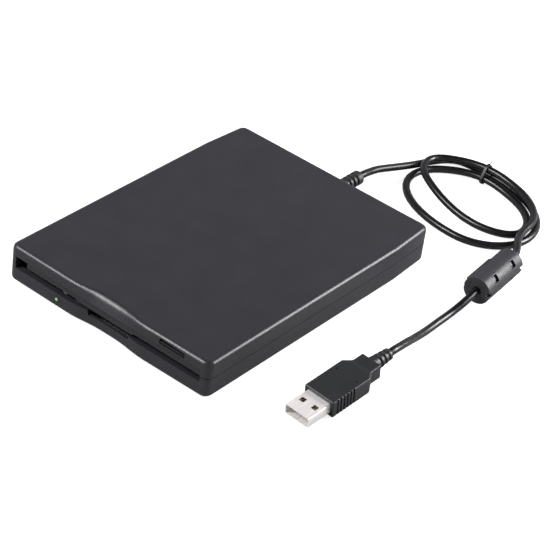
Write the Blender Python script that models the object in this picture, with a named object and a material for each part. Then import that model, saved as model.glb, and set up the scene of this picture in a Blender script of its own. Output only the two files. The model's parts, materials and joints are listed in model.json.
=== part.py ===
"""External floppy disk drive with its USB cord: slot-loading case, drive module, ferrite and plug.

Metres, +Z up. The disk slot faces -Y, and the case rests on its rubber feet at z = 0.
"""

import math

import bmesh
import bpy
from mathutils import Matrix, Vector

# Clearances
GAP = 0.0003
SNUG = 0.0002
OVERRUN = 0.002
BITE = 0.0004

# Case
CASE_WIDTH = 0.105
CASE_DEPTH = 0.1404
CASE_TOP = 0.0172
FOOT_HEIGHT = 0.0010
UNDERSIDE = 0.0008
SEAM = 0.0094
SIDE_WALL = 0.0016
FRONT_WALL = 0.0027
FLOOR_WALL = 0.0016
TOP_WALL = 0.0015
CORNER_RADIUS = 0.0035
INNER_CORNER = 0.0010
TOP_FILLET = 0.0012
BOTTOM_FILLET = 0.0014
FRONT_BOW = 0.0004
TAPER_LENGTH = 0.0232
TAPER = 0.0013
TONGUE_SETBACK = 0.0009
TONGUE_HEIGHT = 0.0009
FRONT_STATION_SHARES = (0, 0.08, 0.15, 0.2, 0.25, 0.3, 0.35, 0.41, 0.6, 0.8, 1)
CORNER_STEPS = 4
FILLET_STEPS = 3

# Scooped middle of the front
WAVE_FLAT = 0.0040
WAVE_REACH = 0.0200
WAVE_LOWER = 0.0015
WAVE_UPPER = 0.00195

# Slot and its flap
SLOT_LEFT_SPACE = 0.0038
SLOT_RIGHT_SPACE = 0.0040
SLOT_BOTTOM = 0.0073
SLOT_TOP = 0.0127
FINGER_LEFT = -0.0103
FINGER_RIGHT = 0.0120
FINGER_SLOPE = 0.0008
FINGER_BOTTOM = 0.0055
FLAP_LEFT_SPACE = 0.0055
FLAP_RIGHT_SPACE = 0.0006
FLAP_THICKNESS = 0.0008
FLAP_SETBACK = 0.0007
FLAP_BOTTOM = 0.0095
FLAP_TAB_LEFT = -0.0170
FLAP_TAB_RIGHT = 0.0140
FLAP_TAB_SLOPE = 0.0012
FLAP_TAB_BOTTOM = 0.0087
FLAP_PIVOT_DROP = 0.00055
FLAP_BARREL = 0.0009
FLAP_PIN_REACH = 0.0007
LEAF_INSET = 0.0067
LEAF_WIDTH = 0.0036
LEAF_THICKNESS = 0.0002
LEAF_BEND = 0.0130
LEAF_TIP = 0.0106

# Eject button
BUTTON_OPENING_WIDTH = 0.0126
BUTTON_SPACE = 0.0083
BUTTON_OPENING_BOTTOM = 0.0134
BUTTON_OPENING_TOP = 0.0163
BUTTON_OPENING_DEPTH = 0.0042
BUTTON_LIP_HEIGHT = 0.0012
BUTTON_STEP = 0.0025
BUTTON_BLOCK = 0.0008
BUTTON_STEM_REACH = 0.0118
BUTTON_STEM_HEIGHT = 0.0004
BUTTON_EDGE = 0.0002

# Access light
LED_PLACE = -0.0256
LED_LEVEL = 0.0046
LED_DIAMETER = 0.0018
LED_HOLE = 0.0024
LED_FLANGE = 0.0034
LED_FLANGE_LENGTH = 0.0007
LED_CHIP_SIZE = 0.0020
LED_CHIP_LENGTH = 0.0012
LED_LEAD_WIDTH = 0.0014
LED_LEAD_THICKNESS = 0.0003

# Feet and case screws
FOOT_DIAMETER = 0.0080
FOOT_SIDE_SPACE = 0.0125
FOOT_END_SPACE = 0.0142
FOOT_RECESS = 0.0005
FOOT_CHAMFER = 0.0003
SCREW_SIDE_SPACE = 0.0085
SCREW_REAR_SPACE = 0.0070
SCREW_HEAD = 0.0048
SCREW_HEAD_HEIGHT = 0.0014
SCREW_SINK = 0.0006
SCREW_SHANK = 0.0020
SCREW_LENGTH = 0.0092
SCREW_SLOT = 0.0007
SCREW_SLOT_DEPTH = 0.0007
BOSS_DIAMETER = 0.0060
PAD_DIAMETER = 0.0080
PAD_HEIGHT = 0.0023
STANDOFF_INSET = 0.0050
STANDOFF_DIAMETER = 0.0040
LID_RIB_X = 0.0300
LID_RIB_WIDTH = 0.0012
LID_RIB_LENGTH = 0.0800

# Cord outlet
OUTLET_X = 0.0018
RELIEF_DIAMETER = 0.0064
RELIEF_LENGTH = 0.0156
RELIEF_NECK = 0.0048
RELIEF_FLANGE = 0.0072
RELIEF_FLANGE_LENGTH = 0.0013
RELIEF_GROOVE = 0.0012
RELIEF_GROOVE_DEPTH = 0.0008
RELIEF_GROOVE_PITCH = 0.0026
RELIEF_FIRST_GROOVE = 0.0062
RELIEF_CHAMFER = 0.0004
RELIEF_GROOVES = 3

# Drive module
MODULE_FRONT = 0.0053
REAR_BAY = 0.0122
CHASSIS_SIDE_SPACE = 0.0027
CHASSIS_SHEET = 0.0008
CHASSIS_FLOOR = 0.0006
CHASSIS_TOP = 0.0140
SHIELD_SHEET = 0.0005
SHIELD_FLANGE = 0.0036
SHIELD_WINDOW = 0.0180
HOLDER_SIDE_SPACE = 0.0022
HOLDER_SHEET = 0.0006
HOLDER_REAR = 0.0310
HOLDER_LIP = 0.0050
BAY_HEIGHT = 0.0036
BAY_BOTTOM = 0.0083
HOLDER_NOTCH_HALF = 0.0085
HOLDER_NOTCH_FRONT = 0.0060
GUIDE_PIN = 0.0012
GUIDE_PIN_REACH = 0.0020
GUIDE_PIN_LEVEL = 0.0101
GUIDE_FRONT_SPACE = 0.0145
GUIDE_REAR_Y = 0.0180
EJECT_TRAVEL = 0.0045
EJECT_SLACK = 0.0004
LIFT_TRAVEL = 0.0022
EJECT_SHEET = 0.0006
EJECT_FRONT_SPACE = 0.0025
EJECT_CROSS_LENGTH = 0.0320
EJECT_FLANGE_REAR = 0.0250
EJECT_FLANGE_BOTTOM = 0.0060
EJECT_HOOK = 0.0006
SPRING_SIDE_SPACE = 0.0100
SPRING_REACH = 0.0180
SPRING_WIRE = 0.00025
SPRING_DIAMETER = 0.0011
SPRING_TURNS = 9
SPRING_POINTS = 8
SPRING_TAB = 0.0030
SPRING_TAB_THICKNESS = 0.0006

# Shutter lever on the holder
LEVER_Y = 0.0250
LEVER_LENGTH = 0.0180
LEVER_WIDTH = 0.0034
LEVER_THICKNESS = 0.0006
LEVER_REST_ANGLE = math.radians(-50)
LEVER_SWING = math.radians(35)
LEVER_PIN = 0.0016
LEVER_PIN_DROP = 0.0032
LEVER_STUD = 0.0020
WINDOW_MARGIN = 0.0012
WINDOW_SIDE_SPACE = 0.002713335
HAIRPIN_LEG = 0.0090
HAIRPIN_SPREAD = math.radians(40)

# Spindle motor
SPINDLE_Y = -0.0140
BOARD_THICKNESS = 0.0008
BOARD_SIDE_SPACE = 0.0042
BOARD_FRONT_SPACE = 0.0045
BOARD_REAR = 0.0050
STATOR_RADIUS = 0.0160
STATOR_CORE = 0.0080
STATOR_BORE = 0.0048
STATOR_HEIGHT = 0.0007
STATOR_POLES = 12
STATOR_TOOTH_SHARE = 0.6
ROTOR_RADIUS = 0.0200
ROTOR_RING = 0.0030
ROTOR_PLATE = 0.0006
ROTOR_SKIRT = 0.0008
HUB_RADIUS = 0.0100
HUB_HEIGHT = 0.0010
SHAFT_DIAMETER = 0.0030
SHAFT_RISE = 0.0014
BEARING_DIAMETER = 0.0080
BEARING_HEIGHT = 0.0020
DRIVE_PIN_OFFSET = 0.0072
DRIVE_PIN = 0.0020
DRIVE_PIN_RISE = 0.0012

# Head carriage and its drive
HEAD_Y = 0.0255
HEAD_SIZE = 0.0060
HEAD_ARM_HALF = 0.0070
HEAD_ARM_THICKNESS = 0.0008
HEAD_BLOCK_DROP = 0.0007
LOWER_HEAD_HEIGHT = 0.0015
CARRIAGE_HALF = 0.0060
CARRIAGE_LEVEL = 0.0037
CARRIAGE_THICKNESS = 0.0019
CARRIAGE_FRONT = 0.0220
CARRIAGE_BLOCK_LENGTH = 0.0090
BLOCK_REAR_SPACE = 0.0035
CARRIAGE_BLOCK_LEFT = -0.0165
CARRIAGE_BLOCK_RIGHT = 0.0135
CARRIAGE_BLOCK_TOP = 0.0094
HINGE_REAR_SPACE = 0.0080
HINGE_LEVEL = 0.0112
HINGE_PIN = 0.0016
HINGE_EAR = 0.0024
HINGE_EAR_RADIUS = 0.0018
ARM_TIP_TOP = 0.0137
ARM_ROOT_BACK = 0.0020
ROD_X = -0.0140
ROD_LEVEL = 0.0048
ROD_DIAMETER = 0.0020
ROD_FRONT = 0.0240
ROD_POST_WIDTH = 0.0046
ROD_POST_THICKNESS = 0.0015
ROD_POST_TOP = 0.0068
LEAD_X = 0.0200
LEAD_LEVEL = 0.0084
LEAD_DIAMETER = 0.0030
LEAD_GROOVE_DEPTH = 0.0003
LEAD_PITCH = 0.0030
LEAD_FRONT = 0.0272
NUT_SPACE = 0.0005
NUT_THICKNESS = 0.0020
NUT_HEIGHT = 0.0044
MOTOR_DIAMETER = 0.0090
MOTOR_LENGTH = 0.0080
MOTOR_REAR_SPACE = 0.0004
BRACKET_FRONT = 0.0280
BRACKET_SHEET = 0.0008
BRACKET_HALF = 0.0045
BRACKET_TOP = 0.0128

# Electronics
SWITCH_SIDE_SPACE = 0.0080
SWITCH_FRONT_SPACE = 0.0085
SWITCH_WIDTH = 0.0050
SWITCH_LENGTH = 0.0060
SWITCH_HEIGHT = 0.0017
PLUNGER_DIAMETER = 0.0016
PLUNGER_RISE = 0.0007
PLUNGER_SINK = 0.0007
INTERFACE_SIDE_SPACE = 0.0175
INTERFACE_REAR_SPACE = 0.0010
INTERFACE_LEVEL = 0.0040
INTERFACE_THICKNESS = 0.0010
CHIP_HEIGHT = 0.0012
CHIP_LEG_HEIGHT = 0.0004
CHIP_LEG_WIDTH = 0.0006
CHIP_LEG_PITCH = 0.0016
CHIP_LEG_REACH = 0.0008
CHIP_LEGS = 6
CONTROLLER_X = -0.0180
DRIVER_INSET = 0.0140
DRIVER_FRONT_SPACE = 0.0185
CHIP_WIDTH = 0.0110
CHIP_LENGTH = 0.0052
RIBBON_SPACE = 0.0055
RIBBON_WIDTH = 0.0120
RIBBON_THICKNESS = 0.0002

# Cord, ferrite and twist tie
CORD_DIAMETER = 0.0033
FERRITE_X = 0.0820
FERRITE_Y = 0.0755
FERRITE_TURN = math.radians(5.9)
FERRITE_WIDTH = 0.0120
FERRITE_LENGTH = 0.0280
FERRITE_RADIUS = 0.0036
FERRITE_WALL = 0.0020
FERRITE_END_WALL = 0.0013
FERRITE_HINGE = 0.0014
FERRITE_HINGE_MIDDLE = 0.0060
FERRITE_HINGE_REACH = 0.0180
FLAP_LATCH_LENGTH = 0.0190
FLAP_LATCH_BOTTOM = 0.0028
FLAP_LATCH_THICKNESS = 0.0008
LATCH_WINDOW_LENGTH = 0.0050
LATCH_WINDOW_HEIGHT = 0.0024
LATCH_WINDOW_LEVEL = 0.0040
LATCH_WINDOW_PLACE = 0.0048
TIE_X = 0.0327
TIE_WIDTH = 0.0012
TIE_THICKNESS = 0.0005
TIE_TAIL = 0.0045
TIE_CLEARANCE = 0.0003
TIE_SPREAD = 0.0180
TIE_TWIST_STEPS = 6
TIE_TAIL_WAY = (0.35, 0.55, 0.75)

# Route of the cord: free stretches through chosen stops, loops between their outermost points
CORD_SPACING = 0.0075
ROUTE_STEPS = 12
LEAD_ROUTE = (
    (0.0017, 0.0900, 0.0094), (0.0018, 0.0950, 0.0088), (0.0024, 0.1009, 0.0079),
    (0.0046, 0.1131, 0.0052), (0.0060, 0.1210, 0.0035), (0.0074, 0.1280, 0.0024),
    (0.0096, 0.1346, 0.0019), (0.0128, 0.1394, 0.0019), (0.0176, 0.1424, 0.0020),
)
LOOP_START_X = 0.0262
LOOP_SIDE_Y = 0.1300
LOOP_STOPS = (
    (0.0370, 0.1430), (0.0728, 0.1150), (0.0490, 0.0930), (0.0094, 0.1180), (0.0350, 0.1385),
    (0.0680, 0.1171), (0.0500, 0.1068), (0.0102, 0.1270), (0.0365, 0.1408), (0.0706, 0.1160),
)
LOOP_POINTS = 6
LOOP_LEAD_SHARE = 0.5
LOOP_APART = 0.0150
LIFT_START = 6
LIFT_QUARTERS = 0.6
STACK_RISE = 0.00395
FERRITE_ROUTE_SHARES = (0.5, 0.2, -0.2)
TAIL_ROUTE = ((0.0724, 0.1080, 0.0056), (0.0757, 0.1020, 0.0060), (0.0787, 0.0965, 0.0060))
END_ROUTE = (
    (0.0836, 0.0570, 0.0051), (0.0834, 0.0515, 0.0036), (0.0828, 0.0450, 0.0020),
    (0.0828, 0.0365, 0.00168), (0.0834, 0.0275, 0.0022), (0.0845, 0.0185, 0.0041),
    (0.0859, 0.0105, 0.0066),
)

# Plug
PLUG_X = 0.0838
PLUG_Y = -0.0413
PLUG_LIFT = 0.00005
PLUG_YAW = math.radians(-4)
PLUG_PITCH = math.radians(6)
SHELL_WIDTH = 0.0120
SHELL_HEIGHT = 0.0045
SHELL_SHEET = 0.0004
SHELL_OUT = 0.01175
SHELL_ROOT = 0.0062
SHELL_WINDOW = 0.0024
SHELL_WINDOW_X = 0.0031
SHELL_WINDOW_Y = 0.0053
TONGUE_WIDTH = 0.0108
TONGUE_THICKNESS = 0.0018
TONGUE_LENGTH = 0.0115
CONTACT_X_INNER = 0.0010
CONTACT_X_OUTER = 0.0035
CONTACT_WIDTH = 0.0010
CONTACT_LENGTH_INNER = 0.0064
CONTACT_LENGTH_OUTER = 0.0074
CONTACT_THICKNESS = 0.00025
BODY_WIDTH = 0.0150
BODY_HEIGHT = 0.0076
BODY_LENGTH = 0.0205
BODY_TAPER = 0.0035
BODY_RADIUS = 0.0022
NECK_WIDTH = 0.0099
NECK_HEIGHT = 0.0066
NECK_LENGTH = 0.0058
PLUG_RELIEF_LENGTH = 0.0098
PLUG_RELIEF_ROOT = 0.0066
PLUG_RELIEF_TIP = 0.0048
PLUG_RELIEF_GROOVE = 0.0011
PLUG_RELIEF_DEPTH = 0.0006
GRIP_FIRST = 0.0022
GRIP_PITCH = 0.0018
GRIP_DEPTH = 0.0004
GRIP_WIDTH = 0.0009
GRIP_COUNT = 6

# Facets
FINE_SIDES = 32
ROUND_SIDES = 24
SMALL_SIDES = 16
PIN_SIDES = 10
SMOOTH_ANGLE = math.radians(35)

# Looks: colour, metallic, roughness
LOOKS = {
    "case_plastic": ((0.052, 0.050, 0.058), 0.0, 0.55),
    "flap_plastic": ((0.050, 0.048, 0.056), 0.0, 0.5),
    "button_plastic": ((0.045, 0.044, 0.050), 0.0, 0.5),
    "rubber": ((0.020, 0.020, 0.022), 0.0, 0.8),
    "cord_jacket": ((0.010, 0.010, 0.013), 0.0, 0.35),
    "ferrite_shell": ((0.055, 0.053, 0.064), 0.0, 0.5),
    "ferrite_core": ((0.040, 0.038, 0.038), 0.1, 0.6),
    "plug_plastic": ((0.026, 0.028, 0.033), 0.0, 0.45),
    "plug_metal": ((0.66, 0.62, 0.60), 1.0, 0.28),
    "contact_gold": ((0.83, 0.62, 0.25), 1.0, 0.3),
    "white_plastic": ((0.70, 0.70, 0.68), 0.0, 0.5),
    "green_lens": ((0.30, 0.52, 0.22), 0.0, 0.25),
    "sheet_steel": ((0.55, 0.56, 0.57), 1.0, 0.4),
    "spring_steel": ((0.62, 0.62, 0.63), 1.0, 0.3),
    "cast_alloy": ((0.50, 0.50, 0.52), 1.0, 0.5),
    "dark_plastic": ((0.030, 0.030, 0.034), 0.0, 0.5),
    "circuit_board": ((0.02, 0.14, 0.06), 0.0, 0.45),
    "copper_coil": ((0.70, 0.33, 0.16), 1.0, 0.4),
    "brass": ((0.72, 0.55, 0.26), 1.0, 0.35),
    "ribbon_plastic": ((0.62, 0.60, 0.55), 0.0, 0.45),
    "screw_steel": ((0.20, 0.20, 0.21), 1.0, 0.4),
}

# Levels and places worked out from the sizes above
FRONT = -CASE_DEPTH / 2
REAR = CASE_DEPTH / 2
FRONT_CORNER = FRONT + FRONT_BOW
FLOOR = UNDERSIDE + FLOOR_WALL
CEILING = CASE_TOP - TOP_WALL
UPPER_SEAM = SEAM + GAP
INNER_FRONT = FRONT_CORNER + FRONT_WALL
INNER_REAR = REAR - SIDE_WALL
OUTLET_LEVEL = SEAM + GAP / 2
MODULE_START = FRONT_CORNER + MODULE_FRONT
SLOT_LEFT = -CASE_WIDTH / 2 + SLOT_LEFT_SPACE
SLOT_RIGHT = CASE_WIDTH / 2 - SLOT_RIGHT_SPACE
FLAP_LEFT = SLOT_LEFT + FLAP_LEFT_SPACE
FLAP_RIGHT = SLOT_RIGHT - FLAP_RIGHT_SPACE
LEAF_LEFT = FLAP_RIGHT - LEAF_INSET
BUTTON_OPENING_RIGHT = SLOT_RIGHT - BUTTON_SPACE
BUTTON_OPENING_LEFT = BUTTON_OPENING_RIGHT - BUTTON_OPENING_WIDTH
FOOT_X = CASE_WIDTH / 2 - FOOT_SIDE_SPACE
FOOT_Y = CASE_DEPTH / 2 - FOOT_END_SPACE
SCREW_X = CASE_WIDTH / 2 - SCREW_SIDE_SPACE
SCREW_Y = CASE_DEPTH / 2 - SCREW_REAR_SPACE
TAPER_START = REAR - TAPER_LENGTH
CHASSIS_REAR = REAR - REAR_BAY
CHASSIS_HALF = CASE_WIDTH / 2 - SIDE_WALL - CHASSIS_SIDE_SPACE
HOLDER_HALF = CHASSIS_HALF - HOLDER_SIDE_SPACE
GUIDE_FRONT_Y = MODULE_START + GUIDE_FRONT_SPACE
EJECT_FRONT = MODULE_START + EJECT_FRONT_SPACE
EJECT_CROSS_REAR = EJECT_FRONT + EJECT_CROSS_LENGTH
SPRING_X = HOLDER_HALF - SPRING_SIDE_SPACE
SPRING_REAR = EJECT_CROSS_REAR + SPRING_REACH
BOARD_HALF = CHASSIS_HALF - BOARD_SIDE_SPACE
BOARD_FRONT = MODULE_START + BOARD_FRONT_SPACE
CARRIAGE_BLOCK_REAR = CHASSIS_REAR - BLOCK_REAR_SPACE
CARRIAGE_BLOCK_FRONT = CARRIAGE_BLOCK_REAR - CARRIAGE_BLOCK_LENGTH
HINGE_Y = CHASSIS_REAR - HINGE_REAR_SPACE
NUT_FRONT = CARRIAGE_BLOCK_FRONT + NUT_SPACE
MOTOR_FRONT = CHASSIS_REAR - MOTOR_LENGTH - MOTOR_REAR_SPACE
LEAD_TURNS = int((MOTOR_FRONT - GAP - LEAD_FRONT) / LEAD_PITCH) - 1
SWITCH_X = HOLDER_HALF - SWITCH_SIDE_SPACE
SWITCH_Y = MODULE_START + SWITCH_FRONT_SPACE
INTERFACE_HALF = CASE_WIDTH / 2 - INTERFACE_SIDE_SPACE
STANDOFF_X = INTERFACE_HALF - STANDOFF_INSET
INTERFACE_FRONT = CHASSIS_REAR + GAP * 2
INTERFACE_REAR = INNER_REAR - INTERFACE_REAR_SPACE
DRIVER_X = BOARD_HALF - DRIVER_INSET
DRIVER_Y = MODULE_START + DRIVER_FRONT_SPACE
RIBBON_X = CARRIAGE_BLOCK_LEFT - RIBBON_SPACE - RIBBON_WIDTH / 2
WINDOW_RIGHT = -HOLDER_NOTCH_HALF - WINDOW_SIDE_SPACE
LEVER_REACH = LEVER_LENGTH * math.cos(LEVER_REST_ANGLE + LEVER_SWING)
LEVER_X = WINDOW_RIGHT - (LEVER_PIN + WINDOW_MARGIN) / 2 - LEVER_REACH
CHASSIS_LEVEL = FLOOR + GAP
TRAY_TOP = CHASSIS_LEVEL + CHASSIS_FLOOR
BOARD_LEVEL = TRAY_TOP + SNUG
BOARD_TOP = BOARD_LEVEL + BOARD_THICKNESS
SHIELD_LEVEL = CHASSIS_TOP + GAP
SHIELD_TOP = SHIELD_LEVEL + SHIELD_SHEET
HOLDER_BOTTOM = BAY_BOTTOM - HOLDER_SHEET
BAY_TOP = BAY_BOTTOM + BAY_HEIGHT
HOLDER_TOP = BAY_TOP + HOLDER_SHEET
EJECT_LEVEL = HOLDER_TOP + GAP
EJECT_TOP = EJECT_LEVEL + EJECT_SHEET
FLAP_FRONT = FRONT_CORNER + FLAP_SETBACK
FLAP_Y = FLAP_FRONT + FLAP_THICKNESS / 2
FLAP_LEVEL = SLOT_TOP - FLAP_PIVOT_DROP


def clear_scene():
    """Remove what the startup scene holds."""
    for leftover in list(bpy.data.objects):
        bpy.data.objects.remove(leftover, do_unlink=True)


def look(name):
    """The Principled material of this name, made once."""
    if name in bpy.data.materials:
        return bpy.data.materials[name]
    colour, metallic, roughness = LOOKS[name]
    made = bpy.data.materials.new(name)
    made.use_nodes = True
    shader = made.node_tree.nodes["Principled BSDF"]
    shader.inputs["Base Color"].default_value = (*colour, 1)
    shader.inputs["Metallic"].default_value = metallic
    shader.inputs["Roughness"].default_value = roughness
    return made


def body(name, points, faces, finish):
    """An object from points and faces, with its faces turned outward."""
    mesh = bpy.data.meshes.new(name)
    mesh.from_pydata([tuple(point) for point in points], [], faces)
    work = bmesh.new()
    work.from_mesh(mesh)
    bmesh.ops.recalc_face_normals(work, faces=work.faces)
    work.to_mesh(mesh)
    work.free()
    made = bpy.data.objects.new(name, mesh)
    bpy.context.scene.collection.objects.link(made)
    if finish:
        made.data.materials.append(look(finish))
    return made


def box(name, xs, ys, zs, finish=None):
    """A block between two limits on each axis."""
    points = [(x, y, z) for z in zs for y in ys for x in xs]
    faces = [(0, 2, 3, 1), (4, 5, 7, 6), (0, 1, 5, 4), (2, 6, 7, 3), (0, 4, 6, 2), (1, 3, 7, 5)]
    return body(name, points, faces, finish)


def place_on_axis(axis, along, first, second):
    """A point from its place along the axis and its two other coordinates in order."""
    if axis == "X":
        return (along, first, second)
    if axis == "Y":
        return (first, along, second)
    return (first, second, along)


def loft(name, rings, finish=None):
    """A closed skin through rings of equally many points, with a face over each end."""
    count = len(rings[0])
    points = [point for ring in rings for point in ring]
    faces = [tuple(range(count)), tuple(range(len(points) - count, len(points)))]
    for level in range(len(rings) - 1):
        base = level * count
        for side in range(count):
            after = (side + 1) % count
            faces.append((base + side, base + after, base + count + after, base + count + side))
    return body(name, points, faces, finish)


def prism(name, axis, outline, ends, finish=None):
    """An outline in the two other coordinates, drawn out between two places on the axis."""
    rings = [[place_on_axis(axis, end, *point) for point in outline] for end in ends]
    return loft(name, rings, finish)


def turned(name, axis, centre, profile, finish=None, sides=ROUND_SIDES):
    """A profile of (radius, place) pairs turned about a line along the axis; radius 0 is a tip."""
    points = []
    rows = []
    for radius, along in profile:
        if radius == 0:
            rows.append([len(points)])
            points.append(place_on_axis(axis, along, *centre))
            continue
        row = []
        for side in range(sides):
            turn = 2 * math.pi * side / sides
            first = centre[0] + radius * math.cos(turn)
            second = centre[1] + radius * math.sin(turn)
            row.append(len(points))
            points.append(place_on_axis(axis, along, first, second))
        rows.append(row)
    closed_profile = profile[0] == profile[-1]
    if closed_profile:
        points = points[:-sides]
        rows[-1] = rows[0]
    faces = []
    for here, ahead in zip(rows, rows[1:]):
        for side in range(sides):
            after = (side + 1) % sides
            quad = [here[side % len(here)], here[after % len(here)]]
            quad += [ahead[after % len(ahead)], ahead[side % len(ahead)]]
            faces.append(tuple(dict.fromkeys(quad)))
    if not closed_profile:
        faces += [tuple(row) for row in (rows[0], rows[-1]) if len(row) > 1]
    made = body(name, points, faces, finish)
    round_off(made)
    return made


def rod(name, axis, centre, radius, ends, finish=None, sides=ROUND_SIDES):
    """A plain cylinder."""
    return turned(name, axis, centre, [(radius, ends[0]), (radius, ends[1])], finish, sides)


def ring(name, axis, centre, outer, bore, ends, finish=None, sides=ROUND_SIDES):
    """A cylinder with a bore right through."""
    low, high = ends
    profile = [(bore, low), (outer, low), (outer, high), (bore, high), (bore, low)]
    return turned(name, axis, centre, profile, finish, sides)


def round_off(made):
    """Smooth shading on the round faces, with the sharp edges kept."""
    for face in made.data.polygons:
        face.use_smooth = True
    for edge in made.data.edges:
        edge.use_edge_sharp = False
    made.data.set_sharp_from_angle(angle=SMOOTH_ANGLE)


def combine(made, tool, how):
    """Cut the tool from the object or join it on, and drop the tool."""
    step = made.modifiers.new(how.lower(), "BOOLEAN")
    step.operation = how
    step.solver = "EXACT"
    step.object = tool
    graph = bpy.context.evaluated_depsgraph_get()
    result = bpy.data.meshes.new_from_object(made.evaluated_get(graph), depsgraph=graph)
    made.modifiers.clear()
    worn = made.data
    made.data = result
    bpy.data.meshes.remove(worn)
    result.name = made.name
    bpy.data.objects.remove(tool, do_unlink=True)


def cut(made, *tools):
    """Cut each tool out of the object."""
    for tool in tools:
        combine(made, tool, "DIFFERENCE")


def join(made, *tools):
    """Join each tool to the object."""
    for tool in tools:
        combine(made, tool, "UNION")


def hang_on(made, pivot):
    """Put the object's origin on its joint's axis, with its shape left where it is."""
    made.data.transform(Matrix.Translation(-Vector(pivot)))
    made.location = pivot
    return made


def tube(name, points, diameter, finish, bevel_steps):
    """A round wire or cord along the points, with closed ends."""
    path = bpy.data.curves.new(name, "CURVE")
    path.dimensions = "3D"
    path.bevel_depth = diameter / 2
    path.bevel_resolution = bevel_steps
    path.use_fill_caps = True
    line = path.splines.new("POLY")
    line.points.add(len(points) - 1)
    for spot, point in zip(line.points, points):
        spot.co = (*point, 1)
    made = bpy.data.objects.new(name, path)
    bpy.context.scene.collection.objects.link(made)
    path.materials.append(look(finish))
    return made


def front_setback(x):
    """How far the bowed face lies behind its foremost line at this place."""
    return FRONT_BOW * (1 - math.cos(math.pi * x / CASE_WIDTH))


def wave_share(x):
    """The share of the scoop's depth at this place: full in the middle, none at its reach."""
    if abs(x) >= WAVE_REACH:
        return 0
    run = min(1, (WAVE_REACH - abs(x)) / (WAVE_REACH - WAVE_FLAT))
    return run * run * (3 - 2 * run)


def arc_points(centre, radius, start, steps):
    """Points over a quarter turn, both ends counted."""
    turns = [start + math.pi / 2 * step / steps for step in range(steps + 1)]
    return [(centre[0] + radius * math.cos(t), centre[1] + radius * math.sin(t)) for t in turns]


def case_ring(z, inset, front_inset, wave):
    """The outline of the case at one level, set in from its outer face."""
    radius = max(CORNER_RADIUS - inset, INNER_CORNER)
    half = CASE_WIDTH / 2 - inset
    run = half - radius
    right = []
    for share in FRONT_STATION_SHARES:
        x = run * share
        right.append((x, FRONT + front_setback(x) + wave * wave_share(x) + front_inset))
    right += arc_points((run, right[-1][1] + radius), radius, -math.pi / 2, CORNER_STEPS)[1:]
    right.append((half, TAPER_START))
    rear_corner = (run - TAPER, REAR - inset - radius)
    right += arc_points(rear_corner, radius, 0, CORNER_STEPS)
    left = [(-x, y) for x, y in reversed(right[1:])]
    return [(x, y, z) for x, y in right + left]


def fillet_rings(level, radius, rise, wave_at):
    """Rings round an outer edge, from the upright side to the flat."""
    rings = []
    for step in range(FILLET_STEPS + 1):
        turn = math.pi / 2 * step / FILLET_STEPS
        inset = radius * (1 - math.cos(turn))
        z = level + rise * radius * math.sin(turn)
        rings.append(case_ring(z, inset, inset, wave_at(z)))
    return rings


def upper_wave(z):
    """The scoop of the upper shell, which deepens from the slot's edge to the top."""
    return WAVE_UPPER * max(0, z - SLOT_TOP) / (CASE_TOP - SLOT_TOP)


def slot_cutter(name, bottom, top):
    """The disk slot's opening in the front wall between two levels."""
    ys = (FRONT - OVERRUN, INNER_FRONT + BITE)
    return box(name, (SLOT_LEFT, SLOT_RIGHT), ys, (bottom, top))


def outlet_cutter():
    """The round way for the cord's strain relief, half in each shell."""
    radius = RELIEF_NECK / 2 + GAP
    ends = (INNER_REAR - OVERRUN, REAR + OVERRUN)
    return rod("outlet_cutter", "Y", (OUTLET_X, OUTLET_LEVEL), radius, ends)


def make_top_cover():
    """The upper shell: scooped face, slot edge, button opening, bosses and locating ribs."""
    groove = TONGUE_SETBACK - GAP
    groove_top = SEAM + TONGUE_HEIGHT + GAP
    rings = [case_ring(CEILING, SIDE_WALL, FRONT_WALL, 0)]
    rings.append(case_ring(groove_top, SIDE_WALL, FRONT_WALL, 0))
    rings.append(case_ring(groove_top, groove, groove, 0))
    rings.append(case_ring(UPPER_SEAM, groove, groove, 0))
    rings.append(case_ring(UPPER_SEAM, 0, 0, 0))
    rings.append(case_ring(SLOT_TOP, 0, 0, 0))
    rings += fillet_rings(CASE_TOP - TOP_FILLET, TOP_FILLET, 1, upper_wave)
    cover = loft("top_cover", rings, "case_plastic")
    boss_bottom = FLOOR + PAD_HEIGHT + GAP
    pilot = SCREW_SHANK / 2 + GAP
    for side in (-1, 1):
        place = (side * SCREW_X, SCREW_Y)
        join(cover, rod("boss", "Z", place, BOSS_DIAMETER / 2, (boss_bottom, CEILING + BITE)))
        top = boss_bottom + SCREW_LENGTH
        cut(cover, rod("pilot", "Z", place, pilot, (boss_bottom - OVERRUN, top), None, SMALL_SIDES))
        xs = (side * LID_RIB_X - LID_RIB_WIDTH / 2, side * LID_RIB_X + LID_RIB_WIDTH / 2)
        ys = (-LID_RIB_LENGTH / 2, LID_RIB_LENGTH / 2)
        join(cover, box("lid_rib", xs, ys, (SHIELD_TOP + GAP, CEILING + BITE)))
    cut(cover, slot_cutter("slot_cutter", SEAM, SLOT_TOP))
    ys = (FRONT - OVERRUN, FRONT_CORNER + BUTTON_OPENING_DEPTH)
    xs = (BUTTON_OPENING_LEFT, BUTTON_OPENING_RIGHT)
    cut(cover, box("button_way", xs, ys, (BUTTON_OPENING_BOTTOM, BUTTON_OPENING_TOP)))
    pin_hole = FLAP_BARREL / 2 + GAP
    for start, end in ((SLOT_LEFT + BITE, -1), (SLOT_RIGHT - BITE, 1)):
        reach = FLAP_PIN_REACH + GAP + BITE
        ends = sorted((start, start + end * reach))
        cut(cover, rod("pin_hole", "X", (FLAP_Y, FLAP_LEVEL), pin_hole, ends, None, PIN_SIDES))
    cut(cover, outlet_cutter())
    round_off(cover)


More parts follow.
